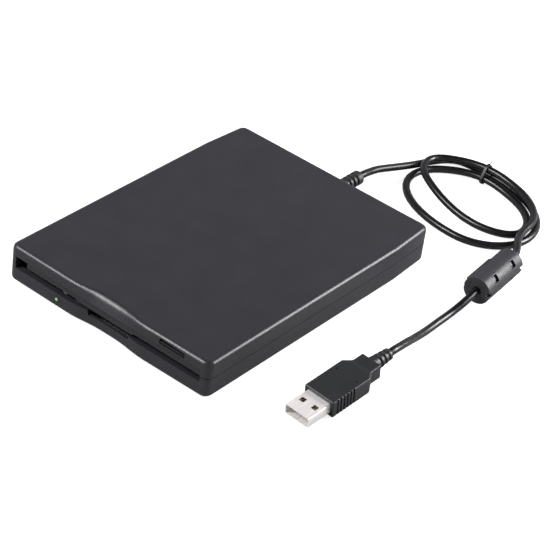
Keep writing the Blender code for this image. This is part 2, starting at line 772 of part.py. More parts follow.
def make_bottom_cover():
    """The lower shell: tongue, finger cut-out, screw pads, foot recesses and light hole."""
    rings = [case_ring(FLOOR, SIDE_WALL, FRONT_WALL, 0)]
    rings.append(case_ring(SEAM + TONGUE_HEIGHT, SIDE_WALL, FRONT_WALL, 0))
    rings.append(case_ring(SEAM + TONGUE_HEIGHT, TONGUE_SETBACK, TONGUE_SETBACK, WAVE_LOWER))
    rings.append(case_ring(SEAM, TONGUE_SETBACK, TONGUE_SETBACK, WAVE_LOWER))
    rings.append(case_ring(SEAM, 0, 0, WAVE_LOWER))
    rings += fillet_rings(UNDERSIDE + BOTTOM_FILLET, BOTTOM_FILLET, -1, lambda z: WAVE_LOWER)
    cover = loft("bottom_cover", rings, "case_plastic")
    for side in (-1, 1):
        place = (side * SCREW_X, SCREW_Y)
        pad_top = FLOOR + PAD_HEIGHT
        join(cover, rod("pad", "Z", place, PAD_DIAMETER / 2, (FLOOR - BITE, pad_top)))
        sink_top = UNDERSIDE + SCREW_SINK + SCREW_HEAD_HEIGHT + GAP
        sink = rod("sink", "Z", place, SCREW_HEAD / 2 + GAP, (UNDERSIDE - OVERRUN, sink_top))
        way = (UNDERSIDE - OVERRUN, pad_top + OVERRUN)
        cut(cover, sink, rod("way", "Z", place, SCREW_SHANK / 2 + GAP, way, None, SMALL_SIDES))
        stand = (side * STANDOFF_X, (INTERFACE_FRONT + INTERFACE_REAR) / 2)
        ends = (FLOOR - BITE, INTERFACE_LEVEL - GAP)
        join(cover, rod("stand", "Z", stand, STANDOFF_DIAMETER / 2, ends, None, SMALL_SIDES))
        for end in (-1, 1):
            spot = (side * FOOT_X, end * FOOT_Y)
            levels = (UNDERSIDE - OVERRUN, UNDERSIDE + FOOT_RECESS)
            cut(cover, rod("recess", "Z", spot, FOOT_DIAMETER / 2 + GAP, levels))
    cut(cover, slot_cutter("slot_cutter", SLOT_BOTTOM, SEAM + TONGUE_HEIGHT + OVERRUN))
    finger = [(FINGER_LEFT + FINGER_SLOPE, FINGER_BOTTOM), (FINGER_RIGHT - FINGER_SLOPE, FINGER_BOTTOM)]
    finger += [(FINGER_RIGHT, SLOT_BOTTOM + BITE), (FINGER_LEFT, SLOT_BOTTOM + BITE)]
    cut(cover, prism("finger", "Y", finger, (FRONT - OVERRUN, INNER_FRONT + BITE)))
    ends = (FRONT - OVERRUN, INNER_FRONT + OVERRUN)
    cut(cover, rod("led_way", "Y", (LED_PLACE, LED_LEVEL), LED_HOLE / 2, ends, None, SMALL_SIDES))
    cut(cover, outlet_cutter())
    round_off(cover)


def make_feet_and_screws():
    """Four stuck-on rubber feet and the two case screws from below."""
    foot = FOOT_DIAMETER / 2
    profile = [(foot - FOOT_CHAMFER, 0), (foot, FOOT_CHAMFER), (foot, FOOT_HEIGHT)]
    places = [(side * FOOT_X, end * FOOT_Y) for end in (-1, 1) for side in (-1, 1)]
    for number, place in enumerate(places, 1):
        turned(f"rubber_foot_{number}", "Z", place, profile, "rubber")
    head_bottom = UNDERSIDE + SCREW_SINK
    head_top = head_bottom + SCREW_HEAD_HEIGHT
    shank = SCREW_SHANK / 2
    tip = head_top + SCREW_LENGTH
    profile = [(SCREW_HEAD / 2, head_bottom), (SCREW_HEAD / 2, head_top), (shank, head_top)]
    profile += [(shank, tip - shank), (shank / 2, tip)]
    for side, word in ((-1, "left"), (1, "right")):
        place = (side * SCREW_X, SCREW_Y)
        screw = turned(f"case_screw_{word}", "Z", place, profile, "screw_steel", SMALL_SIDES)
        reach = SCREW_HEAD / 2 - SCREW_SLOT
        for long_x, long_y in ((reach, SCREW_SLOT / 2), (SCREW_SLOT / 2, reach)):
            xs = (place[0] - long_x, place[0] + long_x)
            ys = (place[1] - long_y, place[1] + long_y)
            cut(screw, box("driver_slot", xs, ys, (head_bottom - BITE, head_bottom + SCREW_SLOT_DEPTH)))


def make_strain_relief():
    """The grooved rubber sleeve that is clamped between the shells at the rear."""
    outer = RELIEF_DIAMETER / 2
    deep = outer - RELIEF_GROOVE_DEPTH
    flange_end = INNER_REAR - GAP
    profile = [(RELIEF_FLANGE / 2, flange_end - RELIEF_FLANGE_LENGTH), (RELIEF_FLANGE / 2, flange_end)]
    start = REAR + GAP
    profile += [(RELIEF_NECK / 2, flange_end), (RELIEF_NECK / 2, start), (outer, start)]
    for number in range(RELIEF_GROOVES):
        groove = start + RELIEF_FIRST_GROOVE + number * RELIEF_GROOVE_PITCH
        profile += [(outer, groove), (deep, groove)]
        profile += [(deep, groove + RELIEF_GROOVE), (outer, groove + RELIEF_GROOVE)]
    tip = start + RELIEF_LENGTH
    profile += [(outer, tip - RELIEF_CHAMFER), (outer - RELIEF_CHAMFER, tip)]
    turned("strain_relief", "Y", (OUTLET_X, OUTLET_LEVEL), profile, "rubber")


def make_flap():
    """The slot's swinging flap with its finger tab and pin barrel, and the leaf spring behind it."""
    outline = [(FLAP_LEFT, FLAP_BOTTOM), (FLAP_TAB_LEFT, FLAP_BOTTOM)]
    outline += [(FLAP_TAB_LEFT + FLAP_TAB_SLOPE, FLAP_TAB_BOTTOM)]
    outline += [(FLAP_TAB_RIGHT - FLAP_TAB_SLOPE, FLAP_TAB_BOTTOM), (FLAP_TAB_RIGHT, FLAP_BOTTOM)]
    outline += [(FLAP_RIGHT, FLAP_BOTTOM), (FLAP_RIGHT, FLAP_LEVEL), (FLAP_LEFT, FLAP_LEVEL)]
    back = FLAP_FRONT + FLAP_THICKNESS
    flap = prism("slot_flap", "Y", outline, (FLAP_FRONT, back), "flap_plastic")
    ends = (SLOT_LEFT - FLAP_PIN_REACH, SLOT_RIGHT + FLAP_PIN_REACH)
    join(flap, rod("barrel", "X", (FLAP_Y, FLAP_LEVEL), FLAP_BARREL / 2, ends, None, PIN_SIDES))
    round_off(flap)
    hang_on(flap, (0, FLAP_Y, FLAP_LEVEL))
    inner = INNER_FRONT + SNUG
    touch = back + SNUG
    high = CEILING - GAP
    leaf = [(inner, high), (inner, LEAF_BEND), (touch, LEAF_TIP), (touch + LEAF_THICKNESS, LEAF_TIP)]
    leaf += [(inner + LEAF_THICKNESS, LEAF_BEND), (inner + LEAF_THICKNESS, high)]
    prism("flap_spring", "X", leaf, (LEAF_LEFT, LEAF_LEFT + LEAF_WIDTH), "spring_steel")


def make_eject_button():
    """The push button: a low lip at the front, a face set back above it and a stem on the plate."""
    front = FRONT + front_setback((BUTTON_OPENING_LEFT + BUTTON_OPENING_RIGHT) / 2)
    low = BUTTON_OPENING_BOTTOM + SNUG
    lip = low + BUTTON_LIP_HEIGHT
    face = front + BUTTON_STEP
    high = BUTTON_OPENING_TOP - GAP
    back = face + BUTTON_BLOCK
    stem = low + BUTTON_STEM_HEIGHT
    end = front + BUTTON_STEM_REACH
    outline = [(front, low), (front, lip - BUTTON_EDGE), (front + BUTTON_EDGE, lip), (face, lip)]
    outline += [(face, high), (back, high), (back, stem), (end, stem), (end, low)]
    xs = (BUTTON_OPENING_LEFT + GAP, BUTTON_OPENING_RIGHT - GAP)
    button = prism("eject_button", "X", outline, xs, "button_plastic")
    hang_on(button, ((xs[0] + xs[1]) / 2, front, low))


def make_access_light():
    """The green lens in the lower front wall and the light-emitting chip behind it."""
    centre = (LED_PLACE, LED_LEVEL)
    face = FRONT + front_setback(LED_PLACE)
    flange = INNER_FRONT + GAP
    flange_end = flange + LED_FLANGE_LENGTH
    radius = LED_DIAMETER / 2
    profile = [(0, face - radius / 2), (radius * 2 / 3, face - radius / 4), (radius, face + radius / 4)]
    profile += [(radius, flange), (LED_FLANGE / 2, flange), (LED_FLANGE / 2, flange_end), (0, flange_end)]
    turned("led_lens", "Y", centre, profile, "green_lens", SMALL_SIDES)
    half = LED_CHIP_SIZE / 2
    start = flange_end + GAP
    xs = (LED_PLACE - half, LED_PLACE + half)
    zs = (LED_LEVEL - half, LED_LEVEL + half)
    chip = box("led_chip", xs, (start, start + LED_CHIP_LENGTH), zs, "white_plastic")
    lead = BOARD_TOP + SNUG
    ys = (start + LED_CHIP_LENGTH - BITE, BOARD_FRONT + OVERRUN)
    xs = (LED_PLACE - LED_LEAD_WIDTH / 2, LED_PLACE + LED_LEAD_WIDTH / 2)
    join(chip, box("leads", xs, ys, (lead, lead + LED_LEAD_THICKNESS)))


def make_chassis():
    """The sheet tray with the guide slots for the holder's pins and the posts of the guide rod."""
    inner = CHASSIS_HALF - CHASSIS_SHEET
    right = [(inner, TRAY_TOP), (inner, CHASSIS_TOP), (CHASSIS_HALF, CHASSIS_TOP)]
    right += [(CHASSIS_HALF, CHASSIS_LEVEL)]
    left = [(-x, z) for x, z in reversed(right)]
    tray = prism("chassis", "Y", right + left, (MODULE_START, CHASSIS_REAR), "sheet_steel")
    half = GUIDE_PIN / 2 + GAP
    low = GUIDE_PIN_LEVEL - LIFT_TRAVEL - GAP - half
    for y in (GUIDE_FRONT_Y, GUIDE_REAR_Y):
        for side in (-1, 1):
            xs = sorted((side * (inner - OVERRUN), side * (CHASSIS_HALF + OVERRUN)))
            ys = (y - half, y + half)
            cut(tray, box("guide_slot", xs, ys, (low, CHASSIS_TOP + OVERRUN)))
    xs = (ROD_X - ROD_POST_WIDTH / 2, ROD_X + ROD_POST_WIDTH / 2)
    rear_post = CHASSIS_REAR - ROD_POST_THICKNESS
    for y in (ROD_FRONT, rear_post):
        ys = (y, y + ROD_POST_THICKNESS)
        join(tray, box("rod_post", xs, ys, (TRAY_TOP - BITE, ROD_POST_TOP)))
    ends = (ROD_FRONT - OVERRUN, CHASSIS_REAR + OVERRUN)
    bore = ROD_DIAMETER / 2 + SNUG
    cut(tray, rod("rod_bore", "Y", (ROD_X, ROD_LEVEL), bore, ends, None, SMALL_SIDES))
    ends = (CHASSIS_LEVEL - OVERRUN, TRAY_TOP + OVERRUN)
    bore = BEARING_DIAMETER / 2 + GAP
    cut(tray, rod("bearing_hole", "Z", (0, SPINDLE_Y), bore, ends))
    round_off(tray)


def make_top_shield():
    """The sheet lid over the module, with side flanges and the hooks of the eject springs."""
    outer = CHASSIS_HALF + GAP + SHIELD_SHEET
    inner = CHASSIS_HALF + GAP
    low = SHIELD_TOP - SHIELD_FLANGE
    right = [(inner, SHIELD_LEVEL), (inner, low), (outer, low), (outer, SHIELD_TOP)]
    left = [(-x, z) for x, z in reversed(right)]
    shield = prism("top_shield", "Y", right + left, (MODULE_START, CHASSIS_REAR), "sheet_steel")
    ends = (SHIELD_LEVEL - OVERRUN, SHIELD_TOP + OVERRUN)
    cut(shield, rod("window", "Z", (0, SPINDLE_Y), SHIELD_WINDOW / 2, ends))
    for side in (-1, 1):
        xs = (side * SPRING_X - SPRING_TAB / 2, side * SPRING_X + SPRING_TAB / 2)
        ys = (SPRING_REAR, SPRING_REAR + SPRING_TAB_THICKNESS)
        join(shield, box("spring_tab", xs, ys, (HOLDER_TOP + GAP + SNUG, SHIELD_LEVEL + SNUG)))
    round_off(shield)


def make_disk_holder():
    """The sheet carrier that the disk slides into, with its four guide pins."""
    inner = HOLDER_HALF - HOLDER_SHEET
    lip = HOLDER_HALF - HOLDER_LIP
    right = [(HOLDER_HALF, HOLDER_TOP), (HOLDER_HALF, HOLDER_BOTTOM), (lip, HOLDER_BOTTOM)]
    right += [(lip, BAY_BOTTOM), (inner, BAY_BOTTOM), (inner, BAY_TOP)]
    left = [(-x, z) for x, z in reversed(right)]
    ends = (MODULE_START, HOLDER_REAR)
    holder = prism("disk_holder", "Y", right + left, ends, "sheet_steel")
    zs = (BAY_TOP - BITE, HOLDER_TOP + OVERRUN)
    ys = (HOLDER_NOTCH_FRONT, HOLDER_REAR + OVERRUN)
    cut(holder, box("head_notch", (-HOLDER_NOTCH_HALF, HOLDER_NOTCH_HALF), ys, zs))
    xs = (LEAD_X - BRACKET_HALF - SNUG * 2, LEAD_X + BRACKET_HALF + SNUG * 2)
    ys = (LEAD_FRONT - SNUG * 2, HOLDER_REAR + OVERRUN)
    cut(holder, box("screw_notch", xs, ys, zs))
    far = LEVER_REST_ANGLE + LEVER_SWING
    margin = LEVER_PIN / 2 + WINDOW_MARGIN / 2
    xs = (LEVER_X + LEVER_LENGTH * math.cos(LEVER_REST_ANGLE) - margin,
          WINDOW_RIGHT)
    ys = (LEVER_Y + LEVER_LENGTH * math.sin(LEVER_REST_ANGLE) - margin,
          LEVER_Y + LEVER_LENGTH * math.sin(far) + margin)
    cut(holder, box("shutter_window", xs, ys, zs))
    for y in (GUIDE_FRONT_Y, GUIDE_REAR_Y):
        for side in (-1, 1):
            ends = sorted((side * (inner + SNUG), side * (HOLDER_HALF + GUIDE_PIN_REACH)))
            place = (y, GUIDE_PIN_LEVEL)
            join(holder, rod("pin", "X", place, GUIDE_PIN / 2, ends, None, PIN_SIDES))
    stud = (LEVER_X, LEVER_Y)
    ends = (HOLDER_TOP - SNUG, HOLDER_TOP + SNUG + LEVER_THICKNESS + SNUG)
    join(holder, rod("stud", "Z", stud, LEVER_STUD / 2 - GAP, ends, None, SMALL_SIDES))
    round_off(holder)
    hang_on(holder, (0, 0, HOLDER_TOP))


def make_eject_plate():
    """The sliding yoke whose slanted slots lower and lift the disk holder."""
    inner = HOLDER_HALF + BITE
    outer = inner + EJECT_SHEET
    right = [(inner, EJECT_LEVEL), (inner, EJECT_FLANGE_BOTTOM), (outer, EJECT_FLANGE_BOTTOM)]
    right += [(outer, EJECT_TOP)]
    left = [(-x, z) for x, z in reversed(right)]
    ends = (EJECT_FRONT, EJECT_FLANGE_REAR)
    plate = prism("eject_plate", "Y", right + left, ends, "sheet_steel")
    xs = (-inner, inner)
    ys = (EJECT_CROSS_REAR, EJECT_FLANGE_REAR + OVERRUN)
    cut(plate, box("open_rear", xs, ys, (EJECT_LEVEL - BITE, EJECT_TOP + OVERRUN)))
    slope = LIFT_TRAVEL / EJECT_TRAVEL
    half = (GUIDE_PIN / 2 + GAP) * math.hypot(1, slope)
    before = EJECT_SLACK + GUIDE_PIN / 2 + GAP
    after = EJECT_TRAVEL + GUIDE_PIN / 2 + GAP
    for y in (GUIDE_FRONT_Y, GUIDE_REAR_Y):
        high = GUIDE_PIN_LEVEL + before * slope
        low = GUIDE_PIN_LEVEL - after * slope
        slot = [(y - before, high - half), (y + after, low - half)]
        slot += [(y + after, low + half), (y - before, high + half)]
        for side in (-1, 1):
            ends = sorted((side * (inner - BITE / 2), side * (outer + BITE / 2)))
            cut(plate, prism("cam_slot", "X", slot, ends))
    for side in (-1, 1):
        xs = (side * SPRING_X - SPRING_TAB / 2, side * SPRING_X + SPRING_TAB / 2)
        ys = (EJECT_CROSS_REAR - SPRING_TAB_THICKNESS, EJECT_CROSS_REAR)
        join(plate, box("hook", xs, ys, (EJECT_TOP - SNUG, EJECT_TOP + EJECT_HOOK)))
    hang_on(plate, (0, EJECT_FRONT, EJECT_LEVEL))


def make_eject_springs():
    """The two pull springs that draw the eject plate toward the front."""
    start = EJECT_CROSS_REAR + GAP
    run = SPRING_REAR - GAP - start
    radius = (SPRING_DIAMETER - SPRING_WIRE) / 2
    level = HOLDER_TOP + GAP + SNUG + SPRING_DIAMETER / 2
    steps = SPRING_TURNS * SPRING_POINTS
    for side, word in ((-1, "left"), (1, "right")):
        points = []
        for step in range(steps + 1):
            turn = 2 * math.pi * step / SPRING_POINTS
            x = side * SPRING_X + radius * math.cos(turn)
            points.append((x, start + run * step / steps, level + radius * math.sin(turn)))
        tube(f"eject_spring_{word}", points, SPRING_WIRE, "spring_steel", 1)


def make_shutter_lever():
    """The lever that slides the disk's shutter open, on the holder's top, with its spring."""
    low = HOLDER_TOP + SNUG
    high = low + LEVER_THICKNESS
    along = Vector((math.cos(LEVER_REST_ANGLE), math.sin(LEVER_REST_ANGLE), 0))
    across = Vector((-along.y, along.x, 0)) * (LEVER_WIDTH / 2)
    root = Vector((LEVER_X, LEVER_Y, 0))
    tip = root + along * LEVER_LENGTH
    corners = [root - across, tip - across * LEVER_PIN / LEVER_WIDTH, tip + across * LEVER_PIN / LEVER_WIDTH]
    corners.append(root + across)
    outline = [(corner.x, corner.y) for corner in corners]
    lever = prism("shutter_lever", "Z", outline, (low, high), "dark_plastic")
    join(lever, rod("eye", "Z", (root.x, root.y), LEVER_WIDTH / 2, (low, high), None, SMALL_SIDES))
    ends = (high - LEVER_PIN_DROP, high)
    join(lever, rod("tip_pin", "Z", (tip.x, tip.y), LEVER_PIN / 2, ends, None, SMALL_SIDES))
    ends = (low - BITE, high + BITE)
    cut(lever, rod("eye_bore", "Z", (root.x, root.y), LEVER_STUD / 2, ends, None, SMALL_SIDES))
    round_off(lever)
    hang_on(lever, (LEVER_X, LEVER_Y, low))


def make_circuit_boards():
    """The motor board in the tray, the USB board at the rear, their chips and the flat cable."""
    level = (BOARD_LEVEL, BOARD_TOP)
    board = box("main_pcb", (-BOARD_HALF, BOARD_HALF), (BOARD_FRONT, BOARD_REAR), level, "circuit_board")
    ends = (BOARD_LEVEL - OVERRUN, BOARD_TOP + OVERRUN)
    bore = BEARING_DIAMETER / 2 + GAP
    cut(board, rod("bearing_hole", "Z", (0, SPINDLE_Y), bore, ends))
    xs = (-INTERFACE_HALF, INTERFACE_HALF)
    ys = (INTERFACE_FRONT, INTERFACE_REAR)
    top = INTERFACE_LEVEL + INTERFACE_THICKNESS
    box("interface_pcb", xs, ys, (INTERFACE_LEVEL, top), "circuit_board")
    middle = (INTERFACE_FRONT + INTERFACE_REAR) / 2
    make_chip("controller_chip", CONTROLLER_X, middle, top)
    make_chip("motor_driver_chip", DRIVER_X, DRIVER_Y, BOARD_TOP)
    xs = (RIBBON_X - RIBBON_WIDTH / 2, RIBBON_X + RIBBON_WIDTH / 2)
    ys = (BOARD_REAR + GAP, INTERFACE_FRONT - GAP)
    zs = (TRAY_TOP + GAP, TRAY_TOP + GAP + RIBBON_THICKNESS)
    box("ffc_ribbon", xs, ys, zs, "ribbon_plastic")


def make_chip(name, x, y, level):
    """A chip package with a row of legs on each long side."""
    low = level + SNUG
    legs = low + CHIP_LEG_HEIGHT
    xs = (x - CHIP_WIDTH / 2, x + CHIP_WIDTH / 2)
    ys = (y - CHIP_LENGTH / 2, y + CHIP_LENGTH / 2)
    chip = box(name, xs, ys, (low, low + CHIP_HEIGHT), "dark_plastic")
    for number in range(CHIP_LEGS):
        spot = x + (number - (CHIP_LEGS - 1) / 2) * CHIP_LEG_PITCH
        leg_xs = (spot - CHIP_LEG_WIDTH / 2, spot + CHIP_LEG_WIDTH / 2)
        leg_ys = (ys[0] - CHIP_LEG_REACH, ys[1] + CHIP_LEG_REACH)
        join(chip, box("leg", leg_xs, leg_ys, (low - SNUG / 2, legs)))


def make_switches():
    """The two disk-sensing switches on the motor board and their plungers."""
    low = BOARD_TOP + SNUG
    top = low + SWITCH_HEIGHT
    for side, word in ((-1, "write_protect"), (1, "density")):
        place = (side * SWITCH_X, SWITCH_Y)
        xs = (place[0] - SWITCH_WIDTH / 2, place[0] + SWITCH_WIDTH / 2)
        ys = (place[1] - SWITCH_LENGTH / 2, place[1] + SWITCH_LENGTH / 2)
        switch = box(f"{word}_switch", xs, ys, (low, top), "dark_plastic")
        bore = PLUNGER_DIAMETER / 2 + SNUG
        way = (low - OVERRUN, top + OVERRUN)
        cut(switch, rod("bore", "Z", place, bore, way, None, SMALL_SIDES))
        ends = (top - PLUNGER_SINK, top + PLUNGER_RISE)
        radius = PLUNGER_DIAMETER / 2
        plunger = rod(f"{word}_plunger", "Z", place, radius, ends, "white_plastic", SMALL_SIDES)
        hang_on(plunger, (place[0], place[1], ends[0]))


def make_shutter_spring():
    """The hairpin wire that swings the shutter lever back."""
    level = HOLDER_TOP + SNUG + LEVER_THICKNESS + SNUG + SPRING_WIRE / 2
    radius = LEVER_STUD / 2 + SNUG
    points = []
    start = LEVER_REST_ANGLE - math.pi / 2
    far = LEVER_REST_ANGLE - math.pi * 3 / 2
    for turn, along in ((start, LEVER_REST_ANGLE), (far, LEVER_REST_ANGLE + HAIRPIN_SPREAD)):
        x = LEVER_X + radius * math.cos(turn) + HAIRPIN_LEG * math.cos(along)
        points.append((x, LEVER_Y + radius * math.sin(turn) + HAIRPIN_LEG * math.sin(along), level))
    bend = []
    for step in range(SPRING_POINTS + 1):
        turn = start - math.pi * step / SPRING_POINTS
        bend.append((LEVER_X + radius * math.cos(turn), LEVER_Y + radius * math.sin(turn), level))
    tube("shutter_spring", [points[0], *bend, points[1]], SPRING_WIRE, "spring_steel", 1)


def make_spindle_motor():
    """The flat disk motor: bearing, wound stator, magnet rotor with shaft, hub and drive pin."""
    centre = (0, SPINDLE_Y)
    shaft = SHAFT_DIAMETER / 2
    low = CHASSIS_LEVEL + SNUG
    bearing = (low, low + BEARING_HEIGHT)
    ring("spindle_bearing", "Z", centre, BEARING_DIAMETER / 2, shaft + SNUG, bearing, "brass")
    level = BOARD_TOP + SNUG
    outline = []
    tooth = math.pi / STATOR_POLES * STATOR_TOOTH_SHARE
    for pole in range(STATOR_POLES):
        turn = 2 * math.pi * pole / STATOR_POLES
        for radius, offset in ((STATOR_CORE, -tooth), (STATOR_RADIUS, -tooth),
                               (STATOR_RADIUS, tooth), (STATOR_CORE, tooth)):
            x = radius * math.cos(turn + offset)
            outline.append((x, SPINDLE_Y + radius * math.sin(turn + offset)))
    top = level + STATOR_HEIGHT
    stator = prism("stator_coils", "Z", outline, (level, top), "copper_coil")
    cut(stator, rod("bore", "Z", centre, STATOR_BORE, (level - OVERRUN, top + OVERRUN)))
    plate = top + SNUG
    plate_top = plate + ROTOR_PLATE
    skirt = plate - ROTOR_SKIRT
    inner = ROTOR_RADIUS - ROTOR_RING
    shaft_top = plate_top + SHAFT_RISE
    profile = [(0, low + SNUG), (shaft, low + SNUG), (shaft, plate), (inner, plate), (inner, skirt)]
    profile += [(ROTOR_RADIUS, skirt), (ROTOR_RADIUS, plate_top), (shaft, plate_top)]
    profile += [(shaft, shaft_top), (0, shaft_top)]
    hang_on(turned("spindle_rotor", "Z", centre, profile, "cast_alloy", FINE_SIDES), (0, SPINDLE_Y, 0))
    hub = (plate_top + SNUG, plate_top + SNUG + HUB_HEIGHT)
    chuck = ring("spindle_hub", "Z", centre, HUB_RADIUS, shaft + SNUG, hub, "brass", FINE_SIDES)
    place = (DRIVE_PIN_OFFSET, SPINDLE_Y)
    way = (hub[0] - OVERRUN, hub[1] + OVERRUN)
    cut(chuck, rod("pin_way", "Z", place, DRIVE_PIN / 2 + SNUG, way, None, SMALL_SIDES))
    round_off(chuck)
    hang_on(chuck, (0, SPINDLE_Y, 0))
    ends = (hub[0], hub[1] + DRIVE_PIN_RISE)
    pin = rod("drive_pin", "Z", place, DRIVE_PIN / 2, ends, "spring_steel", SMALL_SIDES)
    hang_on(pin, (0, SPINDLE_Y, 0))


def make_head_carriage():
    """The cast carriage on its rod, with the lower head, the hinge ears and the nut arm."""
    top = CARRIAGE_LEVEL + CARRIAGE_THICKNESS
    zs = (CARRIAGE_LEVEL, top)
    ys = (CARRIAGE_FRONT, CARRIAGE_BLOCK_FRONT + BITE)
    carriage = box("head_carriage", (-CARRIAGE_HALF, CARRIAGE_HALF), ys, zs, "cast_alloy")
    ys = (CARRIAGE_BLOCK_FRONT, CARRIAGE_BLOCK_REAR)
    xs = (CARRIAGE_BLOCK_LEFT, CARRIAGE_BLOCK_RIGHT)
    block_top = CARRIAGE_BLOCK_TOP
    join(carriage, box("block", xs, ys, (CARRIAGE_LEVEL - SNUG / 2, block_top)))
    reach = LEAD_X + NUT_HEIGHT / 2
    ys = (NUT_FRONT, NUT_FRONT + NUT_THICKNESS)
    zs = (LEAD_LEVEL - NUT_HEIGHT / 2, LEAD_LEVEL + NUT_HEIGHT / 2)
    join(carriage, box("nut_arm", (CARRIAGE_BLOCK_RIGHT - BITE, reach), ys, zs))
    for side in (-1, 1):
        xs = sorted((side * (HEAD_ARM_HALF + GAP), side * (HEAD_ARM_HALF + GAP + HINGE_EAR)))
        ys = (HINGE_Y - HINGE_EAR_RADIUS, HINGE_Y + HINGE_EAR_RADIUS)
        join(carriage, box("ear", xs, ys, (block_top - BITE, HINGE_LEVEL)))
        centre = (HINGE_Y, HINGE_LEVEL)
        eye = rod("eye", "X", centre, HINGE_EAR_RADIUS, (xs[0], xs[1]), None, SMALL_SIDES)
        join(carriage, eye)
    reach = HEAD_ARM_HALF + HINGE_EAR + OVERRUN
    bore = HINGE_PIN / 2 + SNUG
    cut(carriage, rod("hinge_bore", "X", (HINGE_Y, HINGE_LEVEL), bore, (-reach, reach), None, PIN_SIDES))
    ends = (CARRIAGE_BLOCK_FRONT - OVERRUN, CARRIAGE_BLOCK_REAR + OVERRUN)
    bore = ROD_DIAMETER / 2 + SNUG
    cut(carriage, rod("rod_bore", "Y", (ROD_X, ROD_LEVEL), bore, ends, None, SMALL_SIDES))
    bore = LEAD_DIAMETER / 2 + GAP
    ends = (NUT_FRONT - OVERRUN, NUT_FRONT + NUT_THICKNESS + OVERRUN)
    cut(carriage, rod("nut_bore", "Y", (LEAD_X, LEAD_LEVEL), bore, ends, None, SMALL_SIDES))
    round_off(carriage)
    hang_on(carriage, (0, HINGE_Y, CARRIAGE_LEVEL))
    half = HEAD_SIZE / 2
    ys = (HEAD_Y - half, HEAD_Y + half)
    low = top + SNUG
    head = box("lower_head", (-half, half), ys, (low, low + LOWER_HEAD_HEIGHT), "white_plastic")
    hang_on(head, (0, HINGE_Y, CARRIAGE_LEVEL))


def make_head_arm():
    """The upper arm on its hinge pin, held up at rest, with the upper head below its tip."""
    under = ARM_TIP_TOP - HEAD_ARM_THICKNESS
    flat_end = HEAD_Y + HEAD_SIZE
    root = HINGE_Y + ARM_ROOT_BACK
    root_front = HINGE_Y - ARM_ROOT_BACK
    low = HINGE_LEVEL - HEAD_ARM_THICKNESS
    outline = [(CARRIAGE_FRONT, under), (flat_end, under), (root_front, low), (root, low)]
    outline += [(root, HINGE_LEVEL + HEAD_ARM_THICKNESS), (flat_end, ARM_TIP_TOP)]
    outline += [(CARRIAGE_FRONT, ARM_TIP_TOP)]
    xs = (-HEAD_ARM_HALF, HEAD_ARM_HALF)
    arm = prism("head_arm", "X", outline, xs, "dark_plastic")
    reach = HEAD_ARM_HALF + HINGE_EAR
    centre = (HINGE_Y, HINGE_LEVEL)
    join(arm, rod("hinge_pin", "X", centre, HINGE_PIN / 2, (-reach, reach), None, PIN_SIDES))
    round_off(arm)
    hang_on(arm, (0, HINGE_Y, HINGE_LEVEL))
    half = HEAD_SIZE / 2
    ys = (HEAD_Y - half, HEAD_Y + half)
    zs = (under - SNUG - HEAD_BLOCK_DROP, under - SNUG)
    hang_on(box("upper_head", (-half, half), ys, zs, "white_plastic"), (0, HINGE_Y, HINGE_LEVEL))


def make_carriage_drive():
    """The guide rod, and the stepper motor with its lead screw in a sheet bracket."""
    ends = (ROD_FRONT - SNUG, CHASSIS_REAR + SNUG)
    rod("guide_rod", "Y", (ROD_X, ROD_LEVEL), ROD_DIAMETER / 2, ends, "spring_steel", SMALL_SIDES)
    radius = LEAD_DIAMETER / 2
    deep = radius - LEAD_GROOVE_DEPTH
    profile = [(deep, LEAD_FRONT), (radius, LEAD_FRONT + LEAD_GROOVE_DEPTH)]
    for number in range(LEAD_TURNS):
        groove = LEAD_FRONT + (number + 1) * LEAD_PITCH
        profile += [(radius, groove - LEAD_PITCH / 4), (deep, groove - LEAD_PITCH / 8)]
        profile += [(deep, groove + LEAD_PITCH / 8), (radius, groove + LEAD_PITCH / 4)]
    profile += [(radius, MOTOR_FRONT - GAP)]
    centre = (LEAD_X, LEAD_LEVEL)
    screw = turned("lead_screw", "Y", centre, profile, "spring_steel", SMALL_SIDES)
    hang_on(screw, (LEAD_X, LEAD_FRONT, LEAD_LEVEL))
    case = MOTOR_DIAMETER / 2
    rear = MOTOR_FRONT + MOTOR_LENGTH
    profile = [(case - GAP, MOTOR_FRONT), (case, MOTOR_FRONT + GAP), (case, rear - GAP), (case - GAP, rear)]
    turned("stepper_motor", "Y", centre, profile, "sheet_steel")
    low = TRAY_TOP + SNUG
    floor_top = low + BRACKET_SHEET
    back = MOTOR_FRONT - GAP
    front_top = LEAD_LEVEL + LEAD_DIAMETER
    front = BRACKET_FRONT + BRACKET_SHEET
    inner_back = back - BRACKET_SHEET
    outline = [(BRACKET_FRONT, low), (back, low), (back, BRACKET_TOP), (inner_back, BRACKET_TOP)]
    outline += [(inner_back, floor_top), (front, floor_top), (front, front_top)]
    outline += [(BRACKET_FRONT, front_top)]
    xs = (LEAD_X - BRACKET_HALF, LEAD_X + BRACKET_HALF)
    bracket = prism("screw_bracket", "X", outline, xs, "sheet_steel")
    ends = (BRACKET_FRONT - OVERRUN, back + OVERRUN)
    cut(bracket, rod("way", "Y", centre, radius + GAP, ends, None, SMALL_SIDES))
    round_off(bracket)


